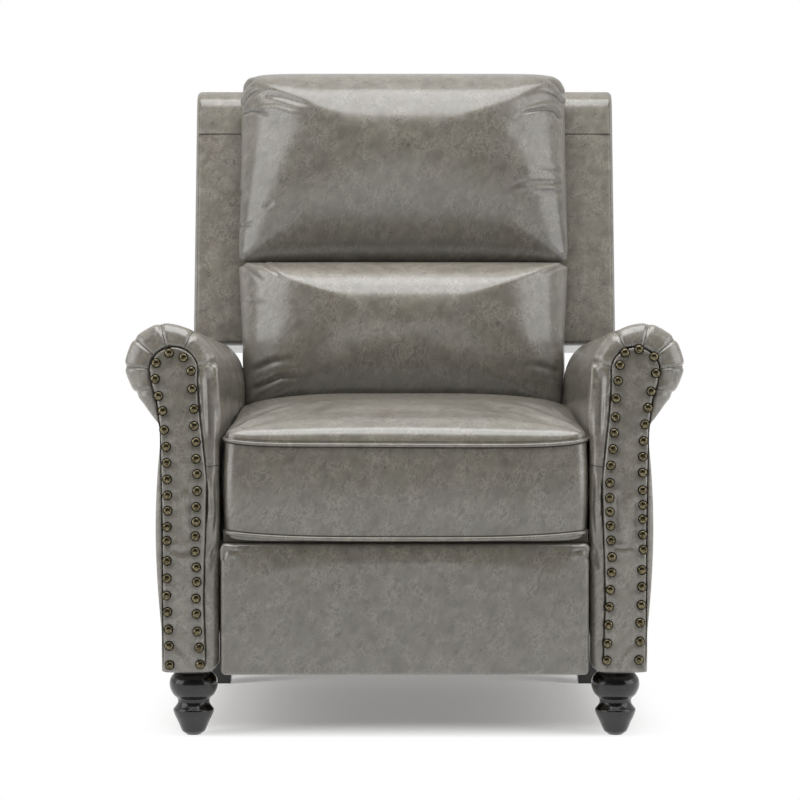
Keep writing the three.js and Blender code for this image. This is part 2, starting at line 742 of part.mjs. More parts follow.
// Steel at the crease: hinge plates on the seat, hinge ears on the back and guide plates on the arms.
function build_recline_hardware() {
  const hinge = point(hinge_y, hinge_z);
  const ear_high = side_rail_outer;
  const ear_low = ear_high - plate_steel;
  const plate_low = side_rail_outer + gap;
  const plate = joined(
    bar_x(point(hinge_plate_front, hinge_plate_z), hinge, plate_low, plate_low + hinge_plate_steel,
      hinge_eye),
    pin_x(hinge, ear_low + gap, plate_low + gap, stud_radius),
  );
  add_pair(seat, 'seat_hinge_plate', plate, finishes.steel);

  const eye = point(0, 0);
  const guide = point(0, guide_lever);
  const stile_low = point(stile_front + hinge_eye, hinge_eye);
  const stile_high = point(stile_front + hinge_eye, guide_lever);
  const ear = joined(
    cut(
      joined(
        bar_x(eye, stile_low, ear_low, ear_high, hinge_eye),
        bar_x(stile_low, stile_high, ear_low, ear_high, hinge_eye),
        bar_x(guide, stile_high, ear_low, ear_high, hinge_eye),
      ),
      pin_x(eye, ear_low - overrun, ear_high + overrun, stud_radius + pivot_play),
    ),
    pin_x(guide, ear_low, arm_inner - gap - link_gap, stud_radius),
  );
  add_pair(back, 'back_hinge_ear', ear, finishes.steel);

  const lean = recline_rest * degrees;
  const top = point(hinge_y + guide_lever * Math.sin(lean), hinge_z + guide_lever * Math.cos(lean));
  const bottom = point(top.y, top.z - guide_travel);
  const guide_high = arm_inner - gap;
  const guide_low = guide_high - plate_steel;
  const slot_radius = stud_radius + guide_play;
  const slotted = cut(
    bar_x(top, bottom, guide_low, guide_high, slot_radius + guide_margin),
    bar_x(top, bottom, guide_low - overrun, guide_high + overrun, slot_radius),
  );
  add_pair(base, 'recline_guide_plate', slotted, finishes.steel);
}

build_arms();
build_feet();
build_base();
build_tracks();
build_seat();
build_linkage();
build_footrest();
build_back();
build_pillows();
build_recline_hardware();

const box = new THREE.Box3().setFromObject(chair);
chair.position.y = -(box.min.y + box.max.y) / 2;

export default chair;
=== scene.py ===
"""Wingback push-back recliner in distressed faux leather, dressed for a studio picture."""

import logging
import math
from dataclasses import dataclass, field
from enum import Enum
from typing import Callable, Sequence

import bmesh
import bpy
import numpy as np
from mathutils import Matrix, Vector
from mathutils.bvhtree import BVHTree


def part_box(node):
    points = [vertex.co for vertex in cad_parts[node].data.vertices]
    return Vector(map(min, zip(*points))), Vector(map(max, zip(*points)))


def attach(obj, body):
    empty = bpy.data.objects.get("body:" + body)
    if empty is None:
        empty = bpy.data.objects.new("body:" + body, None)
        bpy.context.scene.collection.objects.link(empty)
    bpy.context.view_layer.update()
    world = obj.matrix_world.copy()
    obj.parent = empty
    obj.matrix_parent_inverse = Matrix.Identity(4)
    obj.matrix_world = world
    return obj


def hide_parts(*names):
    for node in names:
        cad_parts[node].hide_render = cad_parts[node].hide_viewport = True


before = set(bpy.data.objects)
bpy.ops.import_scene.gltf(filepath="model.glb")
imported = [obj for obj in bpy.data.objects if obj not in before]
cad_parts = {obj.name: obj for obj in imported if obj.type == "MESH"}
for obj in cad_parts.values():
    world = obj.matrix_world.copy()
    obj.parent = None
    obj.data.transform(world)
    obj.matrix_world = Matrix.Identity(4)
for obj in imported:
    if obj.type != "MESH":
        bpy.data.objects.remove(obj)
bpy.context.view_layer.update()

MM = 0.001
WELD = 0.02 * MM  # points nearer than this are one
FACE_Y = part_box("arm_facing_right")[0].y + 4.5 * MM  # the face of the facing boards
HINGE = Vector((0.0, FACE_Y + 625 * MM, 322 * MM))  # axis on which the back reclines
LEAN = math.radians(10)  # how far the back leans at rest

Pixel = tuple[float, float]
Place = tuple[float, float, float]
log = logging.getLogger("recliner")


class Side(Enum):
    """The two sides of the chair, as the sign of their x."""

    RIGHT = 1
    LEFT = -1

    @property
    def word(self) -> str:
        """The ending that a piece's name takes on this side."""
        return self.name.lower()


class Body(Enum):
    """The moving bodies that pieces ride on."""

    BASE = "base"
    SEAT = "seat"
    BACK = "back"
    FOOTREST = "footrest"


# Numbers, meshes and objects


def linear(code: str) -> tuple[float, float, float, float]:
    """Turns an sRGB hex colour into the linear colour that shaders take.

    Args:
        code: The colour, such as "#78746a".

    Returns:
        Red, green, blue and an alpha of 1.
    """
    shares = [int(code[i:i + 2], 16) / 255 for i in (1, 3, 5)]
    bent = [c / 12.92 if c <= 0.04045 else ((c + 0.055) / 1.055) ** 2.4 for c in shares]
    return (bent[0], bent[1], bent[2], 1.0)


def ease(values: np.ndarray | float, low: float, high: float) -> np.ndarray:
    """Rises smoothly from 0 at low to 1 at high.

    Args:
        values: Where to measure.
        low: Value at which the rise starts.
        high: Value at which it ends; it may be below low for a fall.

    Returns:
        The risen shares.
    """
    share = np.clip((np.asarray(values, float) - low) / (high - low), 0, 1)
    return share * share * (3 - 2 * share)


def ripple(places: np.ndarray, length: float, seed: float) -> np.ndarray:
    """A smooth random-looking wave through space, the same on every run.

    Args:
        places: Points in metres.
        length: Typical length of one wave in metres.
        seed: Shifts the pattern, so that pieces differ.

    Returns:
        One value from about -1 to 1 for each point.
    """
    total = np.zeros(len(places))
    for i, stretch in enumerate((1.0, 1.37, 0.71, 1.93)):
        turn = seed * 1.7 + i * 2.4
        way = np.array([math.cos(turn), math.sin(turn * 1.3), math.sin(turn + 1)])
        total += np.sin(places @ way * (2 * math.pi * stretch / length) + turn * 3.1)
    return total / 2.6


def read_places(mesh: bpy.types.Mesh) -> np.ndarray:
    """The mesh's points as rows of x, y and z."""
    places = np.zeros(len(mesh.vertices) * 3)
    mesh.vertices.foreach_get("co", places)
    return places.reshape(-1, 3)


def write_places(mesh: bpy.types.Mesh, places: np.ndarray) -> None:
    """Moves the mesh's points to these rows of x, y and z."""
    if not np.isfinite(places).all():
        raise ValueError(f"{mesh.name} has points that are not numbers")
    mesh.vertices.foreach_set("co", places.ravel())
    mesh.update()


def read_normals(mesh: bpy.types.Mesh) -> np.ndarray:
    """The directions in which the mesh's points face, as rows."""
    normals = np.zeros(len(mesh.vertices) * 3)
    mesh.vertex_normals.foreach_get("vector", normals)
    return normals.reshape(-1, 3)


def write_shade(mesh: bpy.types.Mesh, name: str, values: np.ndarray) -> None:
    """Keeps one number per point for the finishes to read.

    Args:
        mesh: The mesh.
        name: Name of the attribute.
        values: One number for each point.
    """
    layer = mesh.attributes.get(name) or mesh.attributes.new(name, "FLOAT", "POINT")
    layer.data.foreach_set("value", values.astype(np.float32))


def paint_shade(piece: bpy.types.Object, middle: float, foot: float) -> None:
    """Paints shade into a cover's colour: darker by one share over its upper part,
    and more towards its foot, which lies most in shadow.

    Args:
        piece: The object, in place.
        middle: Share of painted shade over its upper part.
        foot: Share of painted shade at its foot.
    """
    heights = read_places(piece.data)[:, 2]
    share = (heights - heights.min()) / np.ptp(heights)
    write_shade(piece.data, "darker", middle + (foot - middle) * (1 - share) ** 2)


def box_form(columns: int, rows: int, layers: int) -> bmesh.types.BMesh:
    """Six welded grids over the cube from -1 to 1.

    Args:
        columns: Cells along x.
        rows: Cells along y.
        layers: Cells along z.

    Returns:
        The closed form.
    """
    form = bmesh.new()
    turns = (
        (columns, rows, Matrix.Identity(3)),
        (layers, rows, Matrix.Rotation(math.pi / 2, 3, "Y")),
        (columns, layers, Matrix.Rotation(math.pi / 2, 3, "X")),
    )
    for across, along, turn in turns:
        for sign in (-1, 1):
            place = turn.to_4x4() @ Matrix.Translation((0, 0, sign))
            bmesh.ops.create_grid(form, x_segments=across, y_segments=along, size=1, matrix=place)
    bmesh.ops.remove_doubles(form, verts=form.verts, dist=1e-5)
    bmesh.ops.recalc_face_normals(form, faces=form.faces)
    return form


def sleeve_form(around: int, along: int) -> bmesh.types.BMesh:
    """A grid whose x runs once around, from 0 to 1, and whose y runs along, from 0 to 1.

    Args:
        around: Cells once around.
        along: Cells from end to end.

    Returns:
        The open grid, to be wrapped and welded.
    """
    form = bmesh.new()
    half = Matrix.Translation((0.5, 0.5, 0)) @ Matrix.Scale(0.5, 4)
    bmesh.ops.create_grid(form, x_segments=around, y_segments=along, size=1, matrix=half)
    return form


def flip_outward(piece: bpy.types.Object, close_ends: bool = False) -> None:
    """Merges a piece's doubles and turns its faces outwards.

    Args:
        piece: The object.
        close_ends: Whether open ends are filled, as those of a wrapped sleeve.
    """
    form = bmesh.new()
    form.from_mesh(piece.data)
    bmesh.ops.remove_doubles(form, verts=form.verts, dist=WELD)
    if close_ends:
        ends = bmesh.ops.holes_fill(form, edges=form.edges, sides=0)["faces"]
        bmesh.ops.triangulate(form, faces=ends, quad_method="BEAUTY", ngon_method="BEAUTY")
    bmesh.ops.recalc_face_normals(form, faces=form.faces)
    form.to_mesh(piece.data)
    form.free()


def new_piece(name: str, form: bmesh.types.BMesh | None = None) -> bpy.types.Object:
    """Puts a form into the scene as an object at the origin, and frees the form.

    Args:
        name: Name of the piece.
        form: Its shape, or None for an empty mesh.

    Returns:
        The new object.
    """
    mesh = bpy.data.meshes.new(name)
    if form is not None:
        form.to_mesh(mesh)
        form.free()
    piece = bpy.data.objects.new(name, mesh)
    bpy.context.scene.collection.objects.link(piece)
    return piece


def reshape(piece: bpy.types.Object, rule: Callable[[np.ndarray], np.ndarray]) -> None:
    """Moves all points of a piece by one rule.

    Args:
        piece: The object.
        rule: Takes rows of points and returns their new places.
    """
    write_places(piece.data, rule(read_places(piece.data)))


def refine(piece: bpy.types.Object) -> None:
    """Subdivides a piece once for good, so that folds can be pressed into a finer surface."""
    soften = piece.modifiers.new("soften", "SUBSURF")
    soften.levels = soften.render_levels = 1
    graph = bpy.context.evaluated_depsgraph_get()
    mesh = bpy.data.meshes.new_from_object(piece.evaluated_get(graph))
    piece.modifiers.remove(soften)
    coarse = piece.data
    piece.data = mesh
    bpy.data.meshes.remove(coarse)
    mesh.name = piece.name


def dress(piece: bpy.types.Object, finish: bpy.types.Material, body: Body,
          levels: int = 0, replaces: Sequence[str] = ()) -> None:
    """Gives a piece its finish, smooth shading and the body it rides on.

    Args:
        piece: The object, in place.
        finish: Its material.
        body: The body that carries it.
        levels: Levels of subdivision, the same in view and render.
        replaces: CAD nodes that it stands for.
    """
    piece.data.materials.clear()
    piece.data.materials.append(finish)
    piece.data.shade_smooth()
    if levels:
        soften = piece.modifiers.new("soften", "SUBSURF")
        soften.levels = soften.render_levels = levels
    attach(piece, body.value)
    if replaces:
        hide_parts(*replaces)
    log.info("%s rides on %s", piece.name, body.value)


def cord_mesh(name: str, runs: Sequence[Sequence[Vector]], radius: float, closed: bool = False,
              sides: int = 3) -> bpy.types.Object:
    """Makes round cords, such as welts and seam threads, along paths.

    Args:
        name: Name of the piece.
        runs: Paths, each a row of points in metres.
        radius: Radius of the cord in metres.
        closed: Whether each path runs back to its start.
        sides: Fineness of the round section.

    Returns:
        One mesh object with all the cords.
    """
    curve = bpy.data.curves.new(name, "CURVE")
    curve.dimensions = "3D"
    curve.bevel_depth = radius
    curve.bevel_resolution = sides
    curve.use_fill_caps = True
    for run in runs:
        spline = curve.splines.new("POLY")
        spline.points.add(len(run) - 1)
        for spot, place in zip(spline.points, run):
            spot.co = (*place, 1)
        spline.use_cyclic_u = closed
    holder = bpy.data.objects.new(name, curve)
    bpy.context.scene.collection.objects.link(holder)
    graph = bpy.context.evaluated_depsgraph_get()
    mesh = bpy.data.meshes.new_from_object(holder.evaluated_get(graph))
    bpy.data.objects.remove(holder)
    bpy.data.curves.remove(curve)
    piece = bpy.data.objects.new(name, mesh)
    bpy.context.scene.collection.objects.link(piece)
    return piece


# Camera


@dataclass(frozen=True)
class StudioCamera:
    """A level long-lens camera in front of the chair, at the height of its head pillow's foot."""

    lens: float = 118.08
    sensor: float = 36.0
    picture: float = 800.0
    centre_column: float = 404.5
    horizon_row: float = 330.0
    height: float = 0.577
    distance: float = 3.7  # from the face of the arms

    def focal(self) -> float:
        """Focal length in pixels."""
        return self.lens / self.sensor * self.picture

    def seen(self, places: np.ndarray) -> np.ndarray:
        """Columns and rows at which points show.

        Args:
            places: Rows of points in metres.

        Returns:
            Rows of column and row, in pixels.
        """
        depth = places[:, 1] - (FACE_Y - self.distance)
        column = self.centre_column + self.focal() * places[:, 0] / depth
        row = self.horizon_row - self.focal() * (places[:, 2] - self.height) / depth
        return np.stack([column, row], axis=1)

    def place(self, pixel: Pixel, y: float) -> Vector:
        """The point at a depth that shows at a pixel.

        Args:
            pixel: Column and row.
            y: Depth in the row frame, in metres.

        Returns:
            The point in metres.
        """
        reach = (y - (FACE_Y - self.distance)) / self.focal()
        return Vector(((pixel[0] - self.centre_column) * reach, y,
                       self.height - (pixel[1] - self.horizon_row) * reach))

    def build(self) -> None:
        """Puts the camera into the scene."""
        data = bpy.data.cameras.new("studio_camera")
        data.lens = self.lens
        data.sensor_width = self.sensor
        data.shift_x = -(self.centre_column - self.picture / 2) / self.picture
        data.shift_y = (self.horizon_row - self.picture / 2) / self.picture
        holder = bpy.data.objects.new("studio_camera", data)
        holder.location = (0, FACE_Y - self.distance, self.height)
        holder.rotation_euler = (math.pi / 2, 0, 0)
        bpy.context.scene.collection.objects.link(holder)
        bpy.context.scene.camera = holder


CAMERA = StudioCamera()


# Folds in soft faces


@dataclass(frozen=True)
class Fold:
    """A groove or ridge in a soft face that looks forward, along a path of pixels.

    Attributes:
        path: Columns and rows that it runs through.
        width: Half width of the groove in mm.
        depth: Depth in mm; a ridge has a depth below 0.
        lip: Height of the raised lips beside it, as a share of the depth.
        side: 0 for lips on both sides, 1 or -1 for one side only.
        start: Share of its length over which it rises at its start.
        end: Share of its length over which it fades at its end.
    """

    path: tuple[Pixel, ...]
    width: float
    depth: float
    lip: float = 0.35
    side: int = 0
    start: float = 0.15
    end: float = 0.5

    def mirrored(self) -> "Fold":
        """The same fold on the other side of the chair."""
        path = tuple((2 * CAMERA.centre_column - x, y) for x, y in self.path)
        return Fold(path, self.width, self.depth, self.lip, -self.side, self.start, self.end)

    def measure(self, seen: np.ndarray) -> tuple[np.ndarray, np.ndarray]:
        """Finds where points lie beside the path.

        Args:
            seen: Columns and rows of the points.

        Returns:
            Distance in pixels, below 0 to the left of the path, and share of the length.
        """
        path = np.array(self.path, float)
        steps = np.linalg.norm(np.diff(path, axis=0), axis=1)
        total = steps.sum()
        best = np.full(len(seen), 1e9)
        signed = np.zeros(len(seen))
        share = np.zeros(len(seen))
        done = 0.0
        for a, b, step in zip(path[:-1], path[1:], steps):
            way = (b - a) / step
            off = seen - a
            along = np.clip(off @ way, 0, step)
            gap = off - along[:, None] * way
            far = np.linalg.norm(gap, axis=1)
            nearer = far < best
            best = np.where(nearer, far, best)
            cross = way[0] * off[:, 1] - way[1] * off[:, 0]
            signed = np.where(nearer, np.sign(cross) * far, signed)
            share = np.where(nearer, (done + along) / total, share)
            done += step
        return signed, share


def press_folds(piece: bpy.types.Object, folds: Sequence[Fold]) -> None:
    """Presses folds into the faces that look forward, and keeps how deep they go as "crease",
    the share of painted shade in their grooves.

    Args:
        piece: The object, in place.
        folds: The folds.
    """
    mesh = piece.data
    places = read_places(mesh)
    normals = read_normals(mesh)
    seen = CAMERA.seen(places)
    scale = (places[:, 1] - (FACE_Y - CAMERA.distance)) / CAMERA.focal() / MM
    front = ease(normals[:, 1], 0.25, -0.2)
    lift = np.zeros(len(places))
    crease = np.zeros(len(places))
    for fold in folds:
        signed, share = fold.measure(seen)
        off = signed * scale / fold.width
        strength = ease(share, -0.001, fold.start) * ease(share, 1.001, 1 - fold.end)
        groove = np.exp(-off * off)
        lips = np.exp(-((off - 2.0) / 1.2) ** 2) * (fold.side >= 0)
        lips += np.exp(-((off + 2.0) / 1.2) ** 2) * (fold.side <= 0)
        lift += fold.depth * strength * (fold.lip * lips - groove)
        # painted shade in the grooves, as deep as they go
        crease += max(fold.depth, 0) / 4 * strength * np.exp(-(1.6 * off) ** 2)
    places += normals * (lift * front * MM)[:, None]
    write_places(mesh, places)
    write_shade(mesh, "crease", np.clip(crease * front, 0, 1))


# Cloth


@dataclass(frozen=True)
class Stuffing:
    """How a sewn cover swells over what fills it.

    Attributes:
        pressure: Push of the filling.
        cap: Furthest that a point may move, in mm.
        frames: Steps of the simulation.
        stretch: Stiffness of the cover against stretching.
        shear: Stiffness against shear.
        bending: Stiffness against folding.
        mass: Weight of each point in kg.
        damping: Drag of the air, which calms the cover.
        quality: Substeps for each step.
    """

    pressure: float
    cap: float
    frames: int
    stretch: float = 25.0
    shear: float = 15.0
    bending: float = 5.0
    mass: float = 0.4
    damping: float = 10.0
    quality: int = 6

    def swell(self, piece: bpy.types.Object, sewn: np.ndarray) -> None:
        """Lets the cover swell between its sewn points, and applies the result.

        Args:
            piece: The object, in place.
            sewn: For each point, 1 where it is held and 0 where it is free.
        """
        scene = bpy.context.scene
        scene.frame_set(1)
        group = piece.vertex_groups.new(name="sewn")
        for index in np.flatnonzero(sewn > 0.01):
            group.add([int(index)], float(sewn[index]), "REPLACE")
        cover = piece.modifiers.new("cover", "CLOTH")
        cloth = cover.settings
        cloth.quality = self.quality
        cloth.mass = self.mass
        cloth.tension_stiffness = cloth.compression_stiffness = self.stretch
        cloth.shear_stiffness = self.shear
        cloth.bending_stiffness = self.bending
        cloth.air_damping = self.damping
        cloth.use_pressure = True
        cloth.uniform_pressure_force = self.pressure
        cloth.effector_weights.gravity = 0
        cloth.vertex_group_mass = group.name
        cover.point_cache.frame_start = 1
        cover.point_cache.frame_end = self.frames
        for number in range(1, self.frames + 1):
            scene.frame_set(number)
        graph = bpy.context.evaluated_depsgraph_get()
        swollen = read_places(piece.evaluated_get(graph).data)
        piece.modifiers.remove(cover)
        piece.vertex_groups.remove(group)
        before = read_places(piece.data)
        move = swollen - before
        length = np.linalg.norm(move, axis=1)
        limit = self.cap * MM
        keep = np.where(length > limit, limit / np.maximum(length, 1e-9), 1.0)
        write_places(piece.data, before + move * keep[:, None])
        scene.frame_set(1)
        log.info("%s swelled by up to %.1f mm", piece.name, length.max() / MM)


# Finishes


def add_node(tree: bpy.types.NodeTree, kind: str, settings: dict | None = None,
             **inputs: object) -> bpy.types.Node:
    """Adds a node with its settings, input values and links.

    Args:
        tree: The node tree.
        kind: Type of the node, without its ShaderNode.
        settings: Attributes of the node.
        **inputs: A value or another node's socket for each input. The input's name is written
            with _ for each space, or as i and its number.

    Returns:
        The node.
    """
    node = tree.nodes.new("ShaderNode" + kind)
    for key, value in (settings or {}).items():
        setattr(node, key, value)
    for key, value in inputs.items():
        numbered = key[0] == "i" and key[1:].isdigit()
        socket = node.inputs[int(key[1:])] if numbered else node.inputs[key.replace("_", " ")]
        if isinstance(value, bpy.types.NodeSocket):
            tree.links.new(value, socket)
        else:
            socket.default_value = value
    return node


def new_finish(name: str) -> tuple[bpy.types.Material, bpy.types.NodeTree]:
    """A material with an empty node tree.

    Args:
        name: Name of the material.

    Returns:
        The material and its tree.
    """
    material = bpy.data.materials.new(name)
    material.use_nodes = True
    material.node_tree.nodes.clear()
    return material, material.node_tree


def end_finish(tree: bpy.types.NodeTree, surface: bpy.types.NodeSocket) -> None:
    """Links a shader to the material's output."""
    add_node(tree, "OutputMaterial", Surface=surface)


def blotch(tree: bpy.types.NodeTree, where: bpy.types.NodeSocket, size: float, detail: float,
           low: float, high: float) -> bpy.types.NodeSocket:
    """Cloudy blotches from 0 to 1.

    Args:
        tree: The node tree.
        where: Coordinates.
        size: Width of one blotch in mm.
        detail: Octaves.
        low: Noise value that becomes 0.
        high: Noise value that becomes 1.

    Returns:
        The socket with the shares.
    """
    noise = add_node(tree, "TexNoise", Vector=where, Scale=1000 / size, Detail=detail)
    spread = add_node(tree, "MapRange", {"interpolation_type": "SMOOTHSTEP"},
                      Value=noise.outputs["Fac"], From_Min=low, From_Max=high)
    return spread.outputs["Result"]


def mixed(tree: bpy.types.NodeTree, share: bpy.types.NodeSocket | float,
          first: object, second: object, blend: str = "MIX") -> bpy.types.NodeSocket:
    """Mixes two colours by a share.

    Args:
        tree: The node tree.
        share: How much of the second.
        first: Colour or socket.
        second: Colour or socket.
        blend: How they combine.

    Returns:
        The socket with the mixed colour.
    """
    node = add_node(tree, "Mix", {"data_type": "RGBA", "blend_type": blend},
                    i0=share, i6=first, i7=second)
    return node.outputs[2]


@dataclass(frozen=True)
class FauxLeather:
    """Distressed polyurethane leather with a pull-up look: waxy, cloudy and finely scratched.

    The eye sees taupe grey with faint brown and olive clouds, short pale scratches that lie
    like grass, creases with painted shade, and broad highlights that the fine relief breaks
    up. Sizes are in mm. The grain is drawn coarser than the real one, which is too fine to show.
    """

    ground: str = "#625e57"
    warm: str = "#5a554d"
    olive: str = "#5f5c52"
    # colour of the painted shade in creases
    deep: str = "#3a352f"
    pale: str = "#a09c92"
    cloud: float = 62.0
    patch: float = 17.0
    scratch: float = 8.0
    grain: float = 1.5
    dent: float = 24.0
    worn: float = 26.0  # width of the places where the scratches show
    lie: float = 4.2  # length of a scratch over its spacing
    roughness: float = 0.3
    wax_roughness: float = 0.2
    wax_ior: float = 1.68

    def scratches(self, tree: bpy.types.NodeTree, where: bpy.types.NodeSocket,
                  turn: Sequence[float]) -> tuple[bpy.types.NodeSocket, bpy.types.NodeSocket]:
        """Thin short lines that run mostly one way.

        Args:
            tree: The node tree.
            where: Coordinates.
            turn: Angles that turn the vertical to the way they run.

        Returns:
            Sockets with the lines and with the relief that they lie in.
        """
        drawn = add_node(tree, "Mapping", {"vector_type": "TEXTURE"}, Vector=where,
                         Rotation=turn, Scale=(1, 1, self.lie))
        noise = add_node(tree, "TexNoise", Vector=drawn.outputs[0], Scale=1000 / self.scratch,
                         Detail=1.5)
        line = add_node(tree, "Math", {"operation": "COMPARE"}, i0=noise.outputs["Fac"], i1=0.5,
                        i2=0.03)
        return line.outputs[0], noise.outputs["Fac"]

    def build(self) -> bpy.types.Material:
        """Makes the material.

        Returns:
            The material.
        """
        material, tree = new_finish("distressed_faux_leather")
        where = add_node(tree, "TexCoord").outputs["Object"]
        shifted = add_node(tree, "Mapping", Vector=where, Location=(3.1, 1.7, 0.4)).outputs[0]
        cloud = blotch(tree, where, self.cloud, 2, 0.26, 0.74)
        patch = blotch(tree, where, self.patch, 3, 0.24, 0.76)
        tint = blotch(tree, shifted, self.cloud * 0.7, 2, 0.3, 0.72)
        colour = mixed(tree, cloud, linear(self.ground), linear(self.warm))
        half_tint = add_node(tree, "Math", {"operation": "MULTIPLY"}, i0=tint, i1=0.8)
        colour = mixed(tree, half_tint.outputs[0], colour, linear(self.olive))
        uneven = add_node(tree, "MapRange", Value=patch, To_Min=0.86, To_Max=1.14)
        colour = mixed(tree, 1.0, colour, uneven.outputs[0], "MULTIPLY")
        right_line, relief = self.scratches(tree, where, (0.5, 0.55, 0.0))
        streak = add_node(tree, "MapRange", Value=relief, From_Min=0.3, From_Max=0.7,
                          To_Min=0.9, To_Max=1.1)
        colour = mixed(tree, 1.0, colour, streak.outputs[0], "MULTIPLY")
        left_line, _ = self.scratches(tree, shifted, (0.7, -0.45, 0.3))
        both = add_node(tree, "Math", {"operation": "MAXIMUM"}, i0=right_line, i1=left_line)
        bare = blotch(tree, shifted, self.worn, 1, 0.3, 0.66)
        shown = add_node(tree, "Math", {"operation": "MULTIPLY"}, i0=both.outputs[0], i1=bare)
        faint = add_node(tree, "Math", {"operation": "MULTIPLY"}, i0=shown.outputs[0], i1=0.2)
        colour = mixed(tree, faint.outputs[0], colour, linear(self.pale))
        # painted shade: the 'darker' share darkens the colour where a cover lies in shadow
        darker = add_node(tree, "Attribute", {"attribute_name": "darker"}).outputs["Fac"]
        painted_shade = add_node(tree, "Math", {"operation": "SUBTRACT"}, i0=1.0, i1=darker)
        colour = mixed(tree, 1.0, colour, painted_shade.outputs[0], "MULTIPLY")
        # painted shade: the crease share mixes the deep colour into the grooves
        crease = add_node(tree, "Attribute", {"attribute_name": "crease"}).outputs["Fac"]
        colour = mixed(tree, crease, colour, linear(self.deep))
        pore = add_node(tree, "TexNoise", Vector=where, Scale=1000 / self.grain, Detail=1)
        swell = add_node(tree, "TexNoise", Vector=where, Scale=1000 / self.dent, Detail=2)
        fine = add_node(tree, "Math", {"operation": "MULTIPLY_ADD"},
                        i0=pore.outputs["Fac"], i1=0.07, i2=swell.outputs["Fac"])
        height = add_node(tree, "Math", {"operation": "MULTIPLY_ADD"},
                          i0=relief, i1=0.16, i2=fine.outputs[0])
        soft = add_node(tree, "Bump", Strength=0.6, Distance=1.1 * MM, Height=height.outputs[0])
        dull = add_node(tree, "MapRange", Value=patch, To_Min=self.roughness - 0.03,
                        To_Max=self.roughness + 0.09)
        shader = add_node(tree, "BsdfPrincipled", Base_Color=colour, Roughness=dull.outputs[0],
                          Normal=soft.outputs[0], IOR=1.5, Coat_Weight=1.0,
                          Coat_Roughness=self.wax_roughness, Coat_IOR=self.wax_ior)
        end_finish(tree, shader.outputs[0])
        return material


@dataclass(frozen=True)
class ThreadAndShade:
    """Stitching sunk in seams, and cords and strips that paint the shade in seams and gaps:
    nearly black, without gloss.
    """

    # near black: stitching, and painted shade in seams and gaps
    colour: str = "#2c2823"
    raised: str = "#3d3831"
    twist: float = 1.2  # in mm

    def build(self) -> bpy.types.Material:
        """Makes the material.

        Returns:
            The material.
        """
        material, tree = new_finish("seam_thread_and_shade")
        where = add_node(tree, "TexCoord").outputs["Object"]
        twist = blotch(tree, where, self.twist, 1, 0.3, 0.7)
        colour = mixed(tree, twist, linear(self.colour), linear(self.raised))
        shader = add_node(tree, "BsdfPrincipled", Base_Color=colour, Roughness=0.8)
        end_finish(tree, shader.outputs[0])
        return material


@dataclass(frozen=True)
class AntiqueBrass:
    """Brass nailheads, stamped and darkened: khaki on the crown; the near-black rim is patina and
    painted shade.
    """

    worn: str = "#7c745c"
    aged: str = "#4c4432"
    # patina and painted shade where the dome meets the leather
    rim: str = "#120e0a"
    tarnish: float = 3.5  # width of a spot in mm

    def build(self) -> bpy.types.Material:
        """Makes the material.

        Returns:
            The material.
        """
        material, tree = new_finish("antique_brass")
        where = add_node(tree, "TexCoord").outputs["Object"]
        spots = blotch(tree, where, self.tarnish, 3, 0.4, 0.62)
        colour = mixed(tree, spots, linear(self.worn), linear(self.aged))
        # patina and painted shade: the rim share darkens the brass towards the dome's foot
        rim = add_node(tree, "Attribute", {"attribute_name": "rim"}).outputs["Fac"]
        dark = add_node(tree, "MapRange", {"interpolation_type": "SMOOTHSTEP"}, Value=rim,
                        From_Min=0.68, From_Max=0.86)
        colour = mixed(tree, dark.outputs[0], colour, linear(self.rim))
        rough = add_node(tree, "MapRange", Value=spots, To_Min=0.2, To_Max=0.32)
        shader = add_node(tree, "BsdfPrincipled", Base_Color=colour, Metallic=1.0,
                          Roughness=rough.outputs[0])
        end_finish(tree, shader.outputs[0])
        return material


@dataclass(frozen=True)
class BlackLacquer:
    """Beech turned and sprayed with black lacquer: deep, smooth and softly glossy."""

    colour: str = "#0e0d0d"
    rubbed: str = "#1b1918"
    patch: float = 9.0  # in mm
    wave: float = 6.0  # of the sprayed film, in mm

    def build(self) -> bpy.types.Material:
        """Makes the material.

        Returns:
            The material.
        """
        material, tree = new_finish("black_lacquer_on_beech")
        where = add_node(tree, "TexCoord").outputs["Object"]
        worn = blotch(tree, where, self.patch, 4, 0.45, 0.75)
        colour = mixed(tree, worn, linear(self.colour), linear(self.rubbed))
        rough = add_node(tree, "MapRange", Value=worn, To_Min=0.2, To_Max=0.34)
        film = add_node(tree, "TexNoise", Vector=where, Scale=1000 / self.wave)
        bump = add_node(tree, "Bump", Strength=0.1, Distance=0.3 * MM,
                        Height=film.outputs["Fac"])
        shader = add_node(tree, "BsdfPrincipled", Base_Color=colour, Roughness=rough.outputs[0],
                          Normal=bump.outputs[0], Coat_Weight=0.4, Coat_Roughness=0.12)
        end_finish(tree, shader.outputs[0])
        return material


@dataclass(frozen=True)
class FrameTimber:
    """Planed frame timber, pale and unfinished, with long grain and a few darker bands."""

    pale: str = "#c9a878"
    dark: str = "#94703f"
    band: float = 7.0  # width of a grain band in mm

    def build(self) -> bpy.types.Material:
        """Makes the material.

        Returns:
            The material.
        """
        material, tree = new_finish("planed_frame_timber")
        where = add_node(tree, "TexCoord").outputs["Object"]
        long = add_node(tree, "Mapping", Vector=where, Scale=(1, 0.12, 1)).outputs[0]
        grain = blotch(tree, long, self.band, 5, 0.35, 0.68)
        colour = mixed(tree, grain, linear(self.pale), linear(self.dark))
        bump = add_node(tree, "Bump", Strength=0.2, Distance=0.2 * MM, Height=grain)
        shader = add_node(tree, "BsdfPrincipled", Base_Color=colour, Roughness=0.7,
                          Normal=bump.outputs[0])
        end_finish(tree, shader.outputs[0])
        return material


